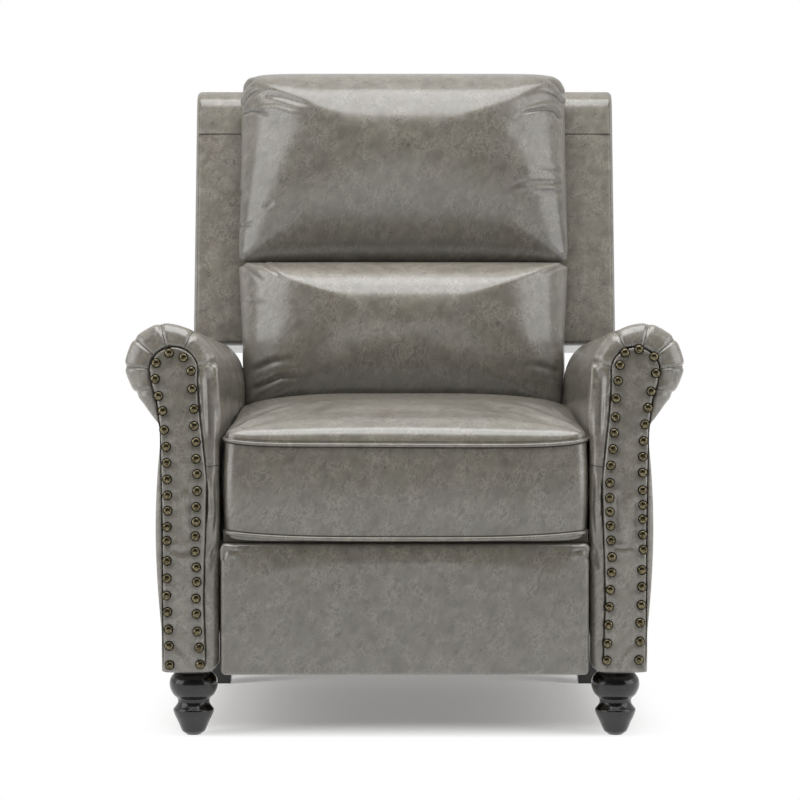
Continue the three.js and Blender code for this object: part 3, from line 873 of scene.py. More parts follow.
@dataclass(frozen=True)
class PaintedSteel:
    """Mechanism steel, stamped and dipped in black paint: satin, with faint orange peel."""

    colour: str = "#242527"
    worn: str = "#3c3d40"
    patch: float = 12.0  # in mm
    peel: float = 2.0  # in mm

    def build(self) -> bpy.types.Material:
        """Makes the material.

        Returns:
            The material.
        """
        material, tree = new_finish("black_painted_steel")
        where = add_node(tree, "TexCoord").outputs["Object"]
        worn = blotch(tree, where, self.patch, 4, 0.5, 0.75)
        colour = mixed(tree, worn, linear(self.colour), linear(self.worn))
        peel = add_node(tree, "TexNoise", Vector=where, Scale=1000 / self.peel)
        bump = add_node(tree, "Bump", Strength=0.12, Distance=0.1 * MM,
                        Height=peel.outputs["Fac"])
        shader = add_node(tree, "BsdfPrincipled", Base_Color=colour, Roughness=0.42,
                          Metallic=0.4, Normal=bump.outputs[0])
        end_finish(tree, shader.outputs[0])
        return material


@dataclass(frozen=True)
class SpringWire:
    """Drawn spring steel: grey, oily and a little streaked."""

    colour: str = "#8b8d90"
    oily: str = "#6c6d70"
    streak: float = 5.0  # in mm

    def build(self) -> bpy.types.Material:
        """Makes the material.

        Returns:
            The material.
        """
        material, tree = new_finish("drawn_spring_wire")
        where = add_node(tree, "TexCoord").outputs["Object"]
        streak = blotch(tree, where, self.streak, 3, 0.4, 0.7)
        colour = mixed(tree, streak, linear(self.colour), linear(self.oily))
        shader = add_node(tree, "BsdfPrincipled", Base_Color=colour, Roughness=0.36,
                          Metallic=1.0)
        end_finish(tree, shader.outputs[0])
        return material


@dataclass
class Finishes:
    """All finishes of the chair, each built once."""

    leather: bpy.types.Material = field(default_factory=lambda: FauxLeather().build())
    thread_and_shade: bpy.types.Material = field(default_factory=lambda: ThreadAndShade().build())
    brass: bpy.types.Material = field(default_factory=lambda: AntiqueBrass().build())
    lacquer: bpy.types.Material = field(default_factory=lambda: BlackLacquer().build())
    timber: bpy.types.Material = field(default_factory=lambda: FrameTimber().build())
    steel: bpy.types.Material = field(default_factory=lambda: PaintedSteel().build())
    wire: bpy.types.Material = field(default_factory=lambda: SpringWire().build())

    def dress_frame(self) -> None:
        """Gives every CAD node that still shows a finish for what it is made of."""
        rules = (
            (self.wire, ("spring",)),
            (self.timber, ("_rail", "_post", "_stile", "footrest_board")),
            (self.lacquer, ("_foot", "_leg")),
            (self.leather, ("casing", "facing", "cushion", "pillow", "_pad", "panel", "wing")),
        )
        for name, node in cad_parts.items():
            chosen = next((f for f, words in rules if any(w in name for w in words)), self.steel)
            for place in node.material_slots:
                place.material = chosen


# Shapes shared by the pieces


def smooth_line(points: Sequence[Sequence[float]], per_step: int) -> np.ndarray:
    """A smooth curve through points.

    Args:
        points: Rows of coordinates.
        per_step: Steps from one point to the next.

    Returns:
        Rows of coordinates on the curve, the given points among them.
    """
    base = np.array(points, float)
    ends = np.vstack([2 * base[0] - base[1], base, 2 * base[-1] - base[-2]])
    rows = []
    for i in range(len(base) - 1):
        a, b, c, d = ends[i:i + 4]
        for t in np.arange(per_step) / per_step:
            rows.append(b + 0.5 * t * (c - a + t * (2 * a - 5 * b + 4 * c - d
                                                    + t * (3 * (b - c) + d - a))))
    rows.append(base[-1])
    return np.array(rows)


def crowd_edges(unit: np.ndarray) -> np.ndarray:
    """Moves the unit cube's cells towards its sides and ends, where a cushion bends most."""
    return unit * (1.35 - 0.35 * unit * unit) * (1, 1, 0) + unit * (0, 0, 1)


def lean_back(places: np.ndarray) -> np.ndarray:
    """Carries points from the back's own upright frame, in metres from its hinge, into place."""
    turn = np.array(Matrix.Rotation(-LEAN, 3, "X"))
    return places @ turn.T + np.array(HINGE)


def padded_block(name: str, low: Sequence[float], high: Sequence[float],
                 radii: Sequence[float], cells: Sequence[int], zone: int = 3) -> bpy.types.Object:
    """A block with rounded edges and an even grid, to be puffed up and pressed.

    Args:
        name: Name of the piece.
        low: Lowest corner in mm.
        high: Highest corner in mm.
        radii: Rounding along x, y and z in mm.
        cells: Cells along x, y and z, those in the rounding among them.
        zone: Cells of the rounding at each end.

    Returns:
        The object, with its place in metres.
    """
    piece = new_piece(name, box_form(*cells))
    low_mm, high_mm, round_mm = (np.array(v, float) for v in (low, high, radii))
    half = (high_mm - low_mm) / 2
    flat = half - round_mm

    def rule(unit: np.ndarray) -> np.ndarray:
        inner = np.maximum(1 - 2 * zone / np.array(cells, float), 1e-6)
        size = np.abs(unit)
        straight = np.minimum(size / inner, 1) * flat
        bent = flat + (size - inner) / (1 - inner) * round_mm
        spread = np.sign(unit) * np.where(size <= inner, straight, bent)
        core = np.clip(spread, -flat, flat)
        off = (spread - core) / round_mm
        length = np.maximum(np.linalg.norm(off, axis=1), 1e-9)[:, None]
        return (core + off / length * round_mm + (low_mm + high_mm) / 2) * MM

    reshape(piece, rule)
    return piece


# Arms


@dataclass
class Arm:
    """A rolled arm: padded casing with a pleated end, keyhole facing, nails and a turned foot.

    Lengths are in mm, x from the middle of the chair and depth from the face of the facings.
    """

    side: Side
    finishes: Finishes
    inner: float = 262.0
    outer: float = 343.0
    bottom: float = 93.0
    front: float = 2.8
    rear: float = 662.0
    roll_x: float = 337.0
    roll_z: float = 528.0
    roll_radius: float = 59.0
    under: float = 440.0
    shoulder: float = 495.0
    low_angle: float = -42.0
    high_angle: float = 125.0
    fall: float = 23.0
    belly: float = 9.0
    bevel: float = 11.0  # cut off the inner lower corner
    arch_x: float = 326.0
    arch_z: float = 519.0
    arch_radius: float = 34.0
    board: float = 15.7
    rear_rounding: float = 12.0
    end_rounding: tuple[float, float, float] = (0.8, 4.0, 22.0)  # share of the reach, limits
    seam_z: float = 387.0  # height of the cross seam on the inner face
    nail_radius: float = 7.0
    nail_height: float = 5.0
    nail_gap: float = 0.2  # from the face to the nail's middle
    pleat_depth: float = 2.6
    pleat_width: float = 2.6
    pleats: tuple[float, ...] = (-43.0, -2.0, 39.0, 81.0, 129.0, 177.0)
    outer_edge: tuple[Pixel, ...] = ((95, 341), (300, 342), (436, 345), (478, 350), (500, 357),
                                     (519, 360))
    inner_edge: tuple[Pixel, ...] = ((95, 280), (196, 284), (366, 279), (408, 284), (440, 287),
                                     (478, 291), (500, 291.5), (519, 292))

    def facing_outline(self, grow: float) -> np.ndarray:
        """Keyhole outline of the facing in x and z, from the outer foot over the arch.

        Args:
            grow: How far it is moved out.

        Returns:
            Rows of x and z.
        """
        outer = np.array(self.outer_edge)
        inner = np.array(self.inner_edge)
        heights = np.linspace(self.bottom + 2 - grow, self.arch_z, 90)
        up = np.stack([np.interp(heights, outer[:, 0], outer[:, 1]) + grow, heights], 1)
        turn = np.linspace(0, math.pi, 60)[1:-1]
        radius = self.arch_radius + grow
        arch = np.stack([self.arch_x + radius * np.cos(turn),
                         self.arch_z + radius * np.sin(turn)], 1)
        down = np.stack([np.interp(heights, inner[:, 0], inner[:, 1]) - grow, heights], 1)
        return np.vstack([up, arch, down[::-1]])

    def section(self) -> tuple[np.ndarray, np.ndarray]:
        """Outline of the padded arm in x and z, once around from its outer foot.

        Returns:
            Rows of x and z, and for each row its angle on the roll in degrees, or nan.
        """
        low, high = math.radians(self.low_angle), math.radians(self.high_angle)
        x, z, r = self.roll_x, self.roll_z, self.roll_radius
        start = np.array([x + r * math.cos(low), z + r * math.sin(low)])
        end = np.array([x + r * math.cos(high), z + r * math.sin(high)])

        def bow(a: np.ndarray, b: np.ndarray, c: np.ndarray, steps: int) -> np.ndarray:
            t = (np.arange(steps) / steps)[:, None]
            return (1 - t) ** 2 * a + 2 * t * (1 - t) * b + t * t * c

        rise = np.linspace(self.bottom, self.under, 30, endpoint=False)
        swell = self.belly * np.sin(np.clip((rise - 150) / (self.under - 150), 0, 1) * math.pi)
        panel = np.stack([self.outer + swell, rise], 1)
        foot = np.array([self.outer, self.under])
        under = bow(foot, (foot + start) / 2 + (0, -4), start, 16)
        angles = np.linspace(low, high, 84, endpoint=False)
        roll = np.stack([x + r * np.cos(angles), z + r * np.sin(angles)], 1)
        hip = np.array([self.inner, self.shoulder])
        corner = np.array([(self.inner * 2 + end[0]) / 3 - 7, end[1] - 15])
        over = bow(end, corner, hip, 26)
        drop = np.linspace(self.shoulder, self.bottom + self.bevel, 44)
        face = np.stack([np.full(44, self.inner), drop], 1)
        sole = np.stack([np.linspace(self.inner + self.bevel, self.outer, 9),
                         np.full(9, self.bottom)], 1)
        rows = np.vstack([panel, under, roll, over, face, sole])
        turn = np.degrees(np.arctan2(rows[:, 1] - z, rows[:, 0] - x))
        turn = np.where(turn < -90, turn + 360, turn)
        return rows, turn

    def surface(self) -> np.ndarray:
        """The casing's points: stations from the facing to the rear, each once around.

        Returns:
            An array of stations by points by x, depth and z, in mm.
        """
        rows, turn = self.section()
        facing = self.facing_outline(0.4)
        gap = np.linalg.norm(rows[:, None] - facing[None], axis=2)
        nearest = facing[np.argmin(gap, axis=1)]
        for _ in range(14):
            nearest = (np.roll(nearest, 1, 0) + 2 * nearest + np.roll(nearest, -1, 0)) / 4
        reach = np.linalg.norm(rows - nearest, axis=1)
        share_of_reach, least, most = self.end_rounding
        depth = np.clip(reach * share_of_reach, least, most)
        stations = [np.column_stack([nearest, np.full(len(rows), self.board + 0.6)])]
        for turn_share in np.linspace(0, 1, 12):
            angle = turn_share * math.pi / 2
            plane = nearest + (rows - nearest) * math.sin(angle) ** 0.9
            stations.append(np.column_stack([plane, self.front + depth * (1 - math.cos(angle))]))
        last = self.rear - self.rear_rounding
        for share in np.concatenate([np.linspace(0, 0.07, 15)[1:], np.linspace(0.07, 1, 32)[1:]]):
            y = self.front + depth + (last - self.front - depth) * share
            stations.append(np.column_stack([rows, y]))
        middle = rows.mean(0)
        inward = middle - rows
        inward /= np.linalg.norm(inward, axis=1)[:, None]
        for angle in np.radians([20, 40, 60, 75, 90]):
            plane = rows + inward * self.rear_rounding * (1 - math.cos(angle))
            y = last + self.rear_rounding * math.sin(angle)
            stations.append(np.column_stack([plane, np.full(len(rows), y)]))
        grid = np.array(stations)[:, :, [0, 2, 1]]
        return self.puffed(grid, turn)

    def puffed(self, grid: np.ndarray, turn: np.ndarray) -> np.ndarray:
        """Sinks the pleats, fills the leather between them and lets the roll fall to the rear.

        Args:
            grid: Stations by points by x, depth and z.
            turn: Angle of each point on the roll in degrees.

        Returns:
            The same grid, moved.
        """
        centre = np.array([self.arch_x, self.arch_z])
        away = grid[:, :, [0, 2]] - centre
        away /= np.maximum(np.linalg.norm(away, axis=2), 1e-9)[:, :, None]
        share = np.clip((grid[:, :, 1] - self.front) / 40, 0, 1)
        on_end = ease(share, 1.0, 0.25) * ease(np.arange(len(grid))[:, None], 0.5, 2.5)
        on_roll = (grid[:, :, 2] > self.under - 30) * 1.0
        dip = np.zeros(grid.shape[:2])
        for angle in self.pleats:
            off = np.radians(turn[None, :] - angle) * self.roll_radius
            # a groove, and the leather that swells at both sides of it
            dip += (self.pleat_depth * np.exp(-(off / self.pleat_width) ** 2)
                    - 0.9 * np.exp(-((np.abs(off) - 8) / 6) ** 2))
        push = -dip * on_end * on_roll
        grid[:, :, 0] += away[:, :, 0] * push
        grid[:, :, 2] += away[:, :, 1] * push
        grid[:, :, 1] -= 0.5 * push
        flat = grid.reshape(-1, 3)
        soft = ease(flat[:, 1], 30, 120) * ease(flat[:, 1], 655, 600)
        wave = ripple(flat * MM * (1, 1.0, 0.45), 0.16, 2.0 + self.side.value) * soft
        flat[:, 0] += wave * 1.6 * np.sign(flat[:, 0] - (self.inner + self.outer) / 2)
        top = self.roll_z + self.roll_radius
        rise = np.maximum(0, (flat[:, 2] - self.under) / (top - self.under))
        flat[:, 2] -= self.fall * flat[:, 1] / self.rear * rise
        return flat.reshape(grid.shape)

    def placed(self, rows: np.ndarray) -> np.ndarray:
        """Carries rows of x, depth and z in mm to this side of the row frame, in metres."""
        flat = rows.reshape(-1, 3) * MM * (self.side.value, 1, 1)
        return flat + (0, FACE_Y, 0)

    def build_casing(self) -> None:
        """Builds the padded casing with its pleated end, pleat threads and soft folds."""
        grid = self.surface()
        stations, around = grid.shape[:2]
        piece = new_piece(f"arm_leather_{self.side.word}", sleeve_form(around - 1, stations - 1))
        spots = read_places(piece.data)
        column = np.rint(spots[:, 0] * (around - 1)).astype(int)
        row = np.rint(spots[:, 1] * (stations - 1)).astype(int)
        write_places(piece.data, self.placed(grid[row, column]))
        flip_outward(piece, close_ends=True)
        refine(piece)
        folds = [
            Fold(((207.5, 368), (208.5, 400), (210, 455)), 4.5, 2.6, 0.3, end=0.4),
            Fold(((199.5, 370), (201, 389), (203, 408), (204.5, 440)), 2.6, -1.8, 0.0, end=0.4),
            Fold(((194, 329), (202.5, 337), (211.5, 350), (215.5, 362), (215.2, 379), (216.5, 398),
                  (218.8, 417), (220.5, 436)), 2.3, -3.6, 0.0, end=0.3),
            Fold(((229, 372), (231, 410), (232, 440)), 5.0, 1.8, 0.3, end=0.5),
            Fold(((224, 366), (225.5, 400), (227, 430)), 4.0, 1.4, 0.3, end=0.5),
            Fold(((211, 470), (212.5, 500), (213, 540)), 4.0, -2.6, 0.0, end=0.4),
            Fold(((205.5, 478), (206, 505), (206, 530)), 3.0, 2.0, 0.3, end=0.4),
            Fold(((214.5, 482), (216, 510), (213, 548)), 3.0, 1.6, 0.3, end=0.4),
            Fold(((215, 548), (212, 560), (208, 572)), 3.5, 2.0, 0.4, end=0.5),
        ]
        if self.side is Side.RIGHT:
            folds = [fold.mirrored() for fold in folds]
        press_folds(piece, folds)
        dress(piece, self.finishes.leather, Body.BASE,
              replaces=[f"arm_casing_{self.side.word}"])
        runs = []
        _, turn = self.section()
        behind = grid[20]  # a station behind the rounded end
        for angle in self.pleats:
            index = int(np.argmin(np.abs(turn - angle) + 1e3 * (behind[:, 2] < self.under - 40)))
            path = self.placed(grid[1:16, index])
            runs.append([Vector(spot) for spot in path])
        inner_rows = np.flatnonzero((np.abs(behind[:, 0] - self.inner) < 3))
        level = inner_rows[np.argmin(np.abs(behind[inner_rows, 2] - self.seam_z))]
        runs.append([Vector(spot) for spot in self.placed(grid[1:15, level])])
        # near-black cords in the pleats' grooves and the cross seam: threads, and painted shade in
        # the grooves
        threads = cord_mesh(f"arm_pleat_threads_{self.side.word}", runs, 0.6 * MM)
        dress(threads, self.finishes.thread_and_shade, Body.BASE)

    def build_facing(self) -> None:
        """Builds the covered facing board, dented a little around its nails."""
        piece = new_piece(f"facing_leather_{self.side.word}", box_form(22, 130, 5))
        outer = np.array(self.outer_edge)
        inner = np.array(self.inner_edge)
        arch_start = 0.86

        def rule(unit: np.ndarray) -> np.ndarray:
            u, v, w = unit.T
            share = (v + 1) / 2
            low = self.bottom + 2
            z = low + np.minimum(share / arch_start, 1) * (self.arch_z - low)
            near = np.interp(z, inner[:, 0], inner[:, 1])
            far = np.interp(z, outer[:, 0], outer[:, 1])
            x = (near + far) / 2 + (far - near) / 2 * u
            bend = np.clip((share - arch_start) / (1 - arch_start), 0, 1)
            angle = u * math.pi / 2
            arc_x = self.arch_x + self.arch_radius * np.sin(angle)
            arc_z = self.arch_z + self.arch_radius * np.cos(angle)
            x = x + (arc_x - x) * bend
            z = z + (arc_z - z) * bend
            edge = np.maximum(np.abs(u) ** 14, np.maximum(v, 0) ** 40 * (np.abs(w) == 1))
            depth = np.where(w < 0, self.board, 0.6 + 2.4 * edge)
            depth = np.where(np.abs(w) < 1, 4.0 + (w * -0.5 + 0.5) * (self.board - 4), depth)
            return self.placed(np.stack([x, depth, z], 1))

        reshape(piece, rule)
        flip_outward(piece)
        refine(piece)
        press_folds(piece, self.facing_folds())
        dress(piece, self.finishes.leather, Body.BASE,
              replaces=[f"arm_facing_{self.side.word}"])

    def facing_folds(self) -> list[Fold]:
        """Dents round the nails and the crumple between them, where the cover is drawn tight."""
        nails = [Fold((spot, (spot[0] + 0.2, spot[1] + 0.2)), 9.5, 0.9, 0.0, start=0.0, end=0.0)
                 for spot in self.nail_spots()]
        if self.side is Side.LEFT:
            return nails + [
                Fold(((186.5, 487), (185.5, 500), (187, 535)), 3.2, -1.3, 0.0),
                Fold(((190, 487), (189.5, 505), (191, 538)), 3.0, 1.0, 0.3),
                Fold(((170, 549), (182, 553), (192, 547)), 4.0, 1.0, 0.5),
                Fold(((172, 640), (185, 655), (193, 668)), 5.0, 0.6, 0.5),
            ]
        return nails + [
            Fold(((627, 494), (626.5, 515), (629, 544)), 5.0, -2.0, 0.0, end=0.15),
            Fold(((617.5, 492), (617.5, 515), (619, 540)), 3.6, 1.6, 0.3),
            Fold(((636, 498), (635.5, 520), (636.5, 540)), 3.6, 1.2, 0.3),
            Fold(((614, 548), (624, 549.5), (634, 547.5)), 2.6, 1.7, 0.4, start=0.2, end=0.2),
            Fold(((633, 640), (622, 655), (614, 666)), 5.0, 0.6, 0.5),
        ]

    def nail_spots(self) -> tuple[Pixel, ...]:
        """Columns and rows of this arm's nails."""
        if self.side is Side.LEFT:
            return (
                (169, 353), (183.5, 357.5), (191, 371), (192, 389), (194, 409), (194, 426),
                (196, 442), (196, 459), (197, 474), (197, 491), (196, 507), (196, 522),
                (195.2, 536.3), (195.1, 551.7), (196.3, 567.5), (196.8, 582), (196, 598.6),
                (196.5, 614), (197.3, 631.5), (199.2, 647.7), (200.2, 664.6), (156, 363),
                (155, 379), (158.5, 396), (162.5, 411), (164, 430), (166, 447), (166.5, 463),
                (167, 479.5), (167.3, 495.4), (167.6, 510.8), (166.9, 527), (166.7, 540.9),
                (166.8, 561), (166.8, 578.4), (166.3, 595.6), (167.3, 612), (168.4, 629.5),
                (169, 646), (169.6, 665.2),
            )
        return (
            (639, 349.3), (625.2, 352.7), (654.1, 356.8), (620, 365.1), (655.8, 373.2),
            (618.1, 380.8), (651.2, 391.4), (616.1, 398.5), (648.2, 407.8), (615.5, 417.2),
            (645.2, 424.4), (614.2, 432.8), (643.6, 441), (613.1, 449), (642.8, 456.8),
            (610.9, 465.6), (642.8, 472.7), (609.9, 482.9), (642.8, 490.3), (609.7, 498),
            (642.9, 505), (610, 512), (642.9, 519.2), (610.5, 525.8), (642.8, 534.7),
            (611, 540.5), (643.5, 549.7), (612, 557.1), (642, 570.1), (611.5, 572.6),
            (641.9, 586.9), (610.3, 590), (641.4, 605), (609.2, 607), (640.1, 622.7),
            (608.5, 625), (640.1, 641.5), (607.4, 643.5), (606.8, 660.6), (639.1, 660.1),
        )

    def build_nails(self) -> None:
        """Builds the row of domed nails, each a dome on a thin turned-down rim."""
        form = bmesh.new()
        radius, height = self.nail_radius * MM, self.nail_height * MM
        middle = FACE_Y + self.nail_gap * MM
        for spot in self.nail_spots():
            head = bmesh.ops.create_uvsphere(form, u_segments=20, v_segments=12, radius=1)
            place = CAMERA.place(spot, middle)
            size = Matrix.Diagonal((radius, height, radius, 1))
            bmesh.ops.transform(form, verts=head["verts"], matrix=Matrix.Translation(place) @ size)
        whole = form.verts[:] + form.edges[:] + form.faces[:]
        bmesh.ops.bisect_plane(form, geom=whole, plane_co=(0, FACE_Y + 1.0 * MM, 0),
                               plane_no=(0, 1, 0), clear_outer=True)
        bmesh.ops.holes_fill(form, edges=form.edges, sides=0)
        bmesh.ops.recalc_face_normals(form, faces=form.faces)
        piece = new_piece(f"nailheads_{self.side.word}", form)
        # the rim share, for the patina and painted shade at the dome's foot
        places = read_places(piece.data)
        rise = np.clip((middle - places[:, 1]) / height, 0, 1)
        write_shade(piece.data, "rim", np.sqrt(np.clip(1 - rise ** 2, 0, 1)))
        dress(piece, self.finishes.brass, Body.BASE)

    def build_foot(self) -> None:
        """Spins the turned front foot: an urn under a ball, with beads between."""
        profile = smooth_line((
            (0.01, 0), (9, 0), (11.6, 1.6), (16.0, 5), (18.6, 10), (22, 18), (26.5, 27),
            (28.9, 34), (28.6, 37), (25.4, 41), (23.0, 45), (22.6, 49), (24.0, 52.5), (29.5, 58),
            (33.4, 66), (34.5, 73), (33.2, 80), (29.4, 86), (25.6, 89.5), (25.6, 92.6),
            (0.01, 92.7)), 4)
        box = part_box(f"front_foot_{self.side.word}")
        axis = (box[0] + box[1]) / 2
        form = bmesh.new()
        spots = [form.verts.new((r * MM, 0, z * MM)) for r, z in profile]
        edges = [form.edges.new(pair) for pair in zip(spots, spots[1:])]
        bmesh.ops.spin(form, geom=spots + edges, cent=(0, 0, 0), axis=(0, 0, 1),
                       angle=2 * math.pi, steps=48, use_merge=True)
        bmesh.ops.remove_doubles(form, verts=form.verts, dist=0.05 * MM)
        bmesh.ops.recalc_face_normals(form, faces=form.faces)
        bmesh.ops.translate(form, verts=form.verts, vec=(axis.x, axis.y, 0))
        piece = new_piece(f"turned_foot_{self.side.word}", form)
        dress(piece, self.finishes.lacquer, Body.BASE, 0,
              [f"front_foot_{self.side.word}"])

    def build(self) -> None:
        """Builds the whole arm."""
        self.build_casing()
        self.build_facing()
        self.build_nails()
        self.build_foot()


# Seat


@dataclass
class Seat:
    """Boxed seat cushion with a crowned top and a welt along its upper and lower front edge.

    Lengths are in mm and depths are from the face of the facings.
    """

    finishes: Finishes
    half_width: float = 259.0
    front: float = -3.0
    rear: float = 608.0
    bottom: float = 279.5
    deck: float = 331.0
    shift: float = 1.8  # to the right, as the cushion sits between the arms
    edge: float = 422.5
    sag: float = 8.0
    crown: float = 46.0
    lift: float = 30.0  # of the side edges towards the rear
    welt_radius: float = 2.5
    low_welt: float = 282.2
    low_radius: float = 3.1
    squareness: float = 21.0  # of its outline's corners
    belly: float = 2.6  # swell of the boxing
    front_zone: float = 15.0  # depth to which the top edge keeps its height
    sag_reach: float = 230.0  # depth at which the front edge's sag has ended
    lift_reach: float = 600.0
    deck_step: tuple[float, float] = (24.0, 34.0)  # depths between which its underside rises
    fullness: tuple[tuple[float, float], ...] = ((0.33, 3), (0.4, 17), (0.27, 85))
    ear: float = 9.5  # rise of the lower welt towards its ends
    stitch_rise: float = 5.6  # over the upper welt's middle
    stitch_pitch: float = 3.2

    def rim(self, u: np.ndarray, v: np.ndarray) -> np.ndarray:
        """Maps the unit square's edge to the cushion's outline with rounded corners.

        Args:
            u: From -1 to 1 across.
            v: From -1, at the front, to 1.

        Returns:
            Rows of x and depth.
        """
        power = self.squareness
        size = np.maximum(np.maximum(np.abs(u), np.abs(v)), 1e-9)
        a, b = u / size, v / size
        shrink = np.maximum(np.abs(a) ** power + np.abs(b) ** power, 0.5) ** (-1 / power)
        x = self.half_width * a * shrink * size * (1 - 0.006 * (1 - b * b))
        length = (self.rear - self.front) / 2
        y = (self.front + self.rear) / 2 + length * b * shrink * size
        return np.stack([x, y], 1)

    def edge_height(self, x: np.ndarray, y: np.ndarray) -> np.ndarray:
        """Height of the upper welt at x and y, which sags between the front corners."""
        across = x / self.half_width
        sag = self.sag * (1 - np.abs(across) ** 7) + 1.3 * across * (1 - across ** 2)
        return self.edge - sag * (1 - ease(y, self.front_zone, self.sag_reach)) + self.raised(y)

    def raised(self, y: np.ndarray) -> np.ndarray:
        """How far the side edges rise by the depth y."""
        return self.lift * ease(y, self.front_zone, self.lift_reach)

    def low_height(self, x: np.ndarray, _y: np.ndarray) -> np.ndarray:
        """Height of the lower welt, which rises towards its ends."""
        return self.low_welt + self.ear * np.abs(x / self.half_width) ** 3.5

    def puff(self, plan: np.ndarray) -> np.ndarray:
        """How full the top is: steep over the welt, rounded, then almost flat.

        Args:
            plan: Rows of x and depth.

        Returns:
            Shares of the crown.
        """
        full = np.ones(len(plan))
        for edge in (plan[:, 1] - self.front, self.rear - plan[:, 1],
                     self.half_width - plan[:, 0], self.half_width + plan[:, 0]):
            inside = np.clip(edge, 0, None)
            full *= sum(part * (1 - np.exp(-inside / reach)) for part, reach in self.fullness)
        return full

    def rule(self, unit: np.ndarray) -> np.ndarray:
        """Maps the unit cube to the sewn cushion before it swells.

        Args:
            unit: Rows of u, v and w.

        Returns:
            Rows of places in metres.
        """
        u, v, w = crowd_edges(unit).T
        plan = self.rim(u, v)
        edge = self.edge_height(plan[:, 0], plan[:, 1])
        under = self.bottom + 5 * np.abs(u) ** 14
        under = under + (self.deck - under) * ease(plan[:, 1], *self.deck_step)
        share = (w + 1) / 2
        z = under + (edge - under) * share
        crown = (self.crown - self.raised(plan[:, 1])) * self.puff(plan)
        z = np.where(w > 0.999, edge + crown, z)
        belly = self.belly * np.sin(np.clip(share, 0, 1) * math.pi) * (np.abs(w) < 0.999)
        out = np.stack([u ** 15, v ** 15], 1)
        plan = plan + out * belly[:, None]
        return np.stack([(plan[:, 0] + self.shift) * MM, FACE_Y + plan[:, 1] * MM, z * MM], 1)

    def build(self) -> None:
        """Builds the cushion, lets it swell, presses its folds and lays its welts."""
        piece = new_piece("seat_cushion_leather", box_form(66, 74, 18))
        unit = read_places(piece.data)
        write_places(piece.data, self.rule(unit))
        flip = read_normals(piece.data)
        if (flip[:, 2] * unit[:, 2]).sum() < 0:
            flip_outward(piece)
        sewn = 1.0 - ease(unit[:, 2], 0.9, 0.999)
        sewn = np.where((np.abs(unit[:, 0]) > 0.999) | (np.abs(unit[:, 1]) > 0.999),
                        np.maximum(sewn, 1.0), sewn)
        boxing = (np.abs(unit[:, 2]) < 0.93) & (unit[:, 1] < -0.999)
        sewn = np.where(boxing, 1 - 0.5 * ease(np.abs(unit[:, 0]), 0.99, 0.86), sewn)
        Stuffing(pressure=3.0, cap=9, frames=20).swell(piece, sewn)
        refine(piece)
        press_folds(piece, [
            Fold(((300, 403), (330, 401), (372, 403)), 6, 0.8, 0.5),
            Fold(((430, 401), (470, 404), (500, 402)), 6, 0.8, 0.5),
            Fold(((560, 412), (577, 422), (590, 434)), 5, 1.6, 0.4),
            Fold(((251, 412), (240, 422), (228, 434)), 5, 1.6, 0.4),
        ])
        # painted shade, growing towards the cushion's foot
        paint_shade(piece, 0.0, 0.2)
        dress(piece, self.finishes.leather, Body.SEAT,
              replaces=["seat_cushion"])
        self.build_welts()
        self.build_lining_and_shade()
        self.build_stitches(piece)

    def ring(self, height: Callable[[np.ndarray, np.ndarray], np.ndarray], out: float,
             ears: float, front_only: bool) -> list[Vector]:
        """A path round the cushion's outline.

        Args:
            height: Gives the height in mm for values of x and y.
            out: How far outside the outline it lies, in mm.
            ears: How far it sticks out at the front corners, in mm.
            front_only: Whether it runs along the front alone.

        Returns:
            Points in metres.
        """
        if front_only:
            u = np.concatenate([np.full(8, -1.0), np.linspace(-1, 1, 121), np.full(8, 1.0)])
            v = np.concatenate([np.linspace(-0.9, -0.995, 8), np.full(121, -1.0),
                                np.linspace(-0.995, -0.9, 8)])
        else:
            t = np.linspace(-1, 1, 90, endpoint=False)
            u = np.concatenate([t, np.ones(90), -t, -np.ones(90)])
            v = np.concatenate([-np.ones(90), t, np.ones(90), -t])
        plan = self.rim(u, v)
        normal = np.stack([u ** 9, v ** 9], 1)
        normal /= np.linalg.norm(normal, axis=1)[:, None]
        corner = np.exp(-((np.abs(plan[:, 0]) - self.half_width) / 9) ** 2)
        corner *= np.exp(-((plan[:, 1] - self.front) / 9) ** 2)
        plan = plan + normal * (out + ears * corner)[:, None]
        z = height(plan[:, 0], plan[:, 1])
        return [Vector(((x + self.shift) * MM, FACE_Y + y * MM, h * MM))
                for x, y, h in zip(*plan.T, z)]

    def build_welts(self) -> None:
        """Lays the upper welt round the cushion, the lower one along its front, and near-black
        cords that paint the shade in the seams beside them.
        """
        upper = cord_mesh("seat_upper_welt", [self.ring(self.edge_height, 0.9, 2.5, False)],
                          self.welt_radius * MM, closed=True)
        dress(upper, self.finishes.leather, Body.SEAT)
        lower = cord_mesh("seat_lower_welt", [self.ring(self.low_height, 0.8, 2.5, True)],
                          self.low_radius * MM)
        dress(lower, self.finishes.leather, Body.SEAT)
        seams = []
        for height, off in ((self.edge_height, -3.3), (self.low_height, 3.9)):
            seams.append(self.ring(lambda x, y, h=height, o=off: h(x, y) + o, 0.7, 1.0, True))
        threads = cord_mesh("seat_seam_shadows", seams, 0.75 * MM)
        dress(threads, self.finishes.thread_and_shade, Body.SEAT)

    def build_lining_and_shade(self) -> None:
        """Closes the front below the welt's raised ends with a strip of black lining, whose
        near-black colour also paints the shade in the slit there.
        """
        reach = self.half_width - 1.5
        lining = padded_block("seat_front_lining_and_shade", (-reach, 6, self.low_welt - 5.4),
                              (reach, 9, self.low_welt + 13), (1, 1, 1), (24, 2, 4), 2)
        reshape(lining, lambda p: p + (self.shift * MM, FACE_Y, 0))
        # near black: lining, and painted shade in the slit
        dress(lining, self.finishes.thread_and_shade, Body.SEAT)

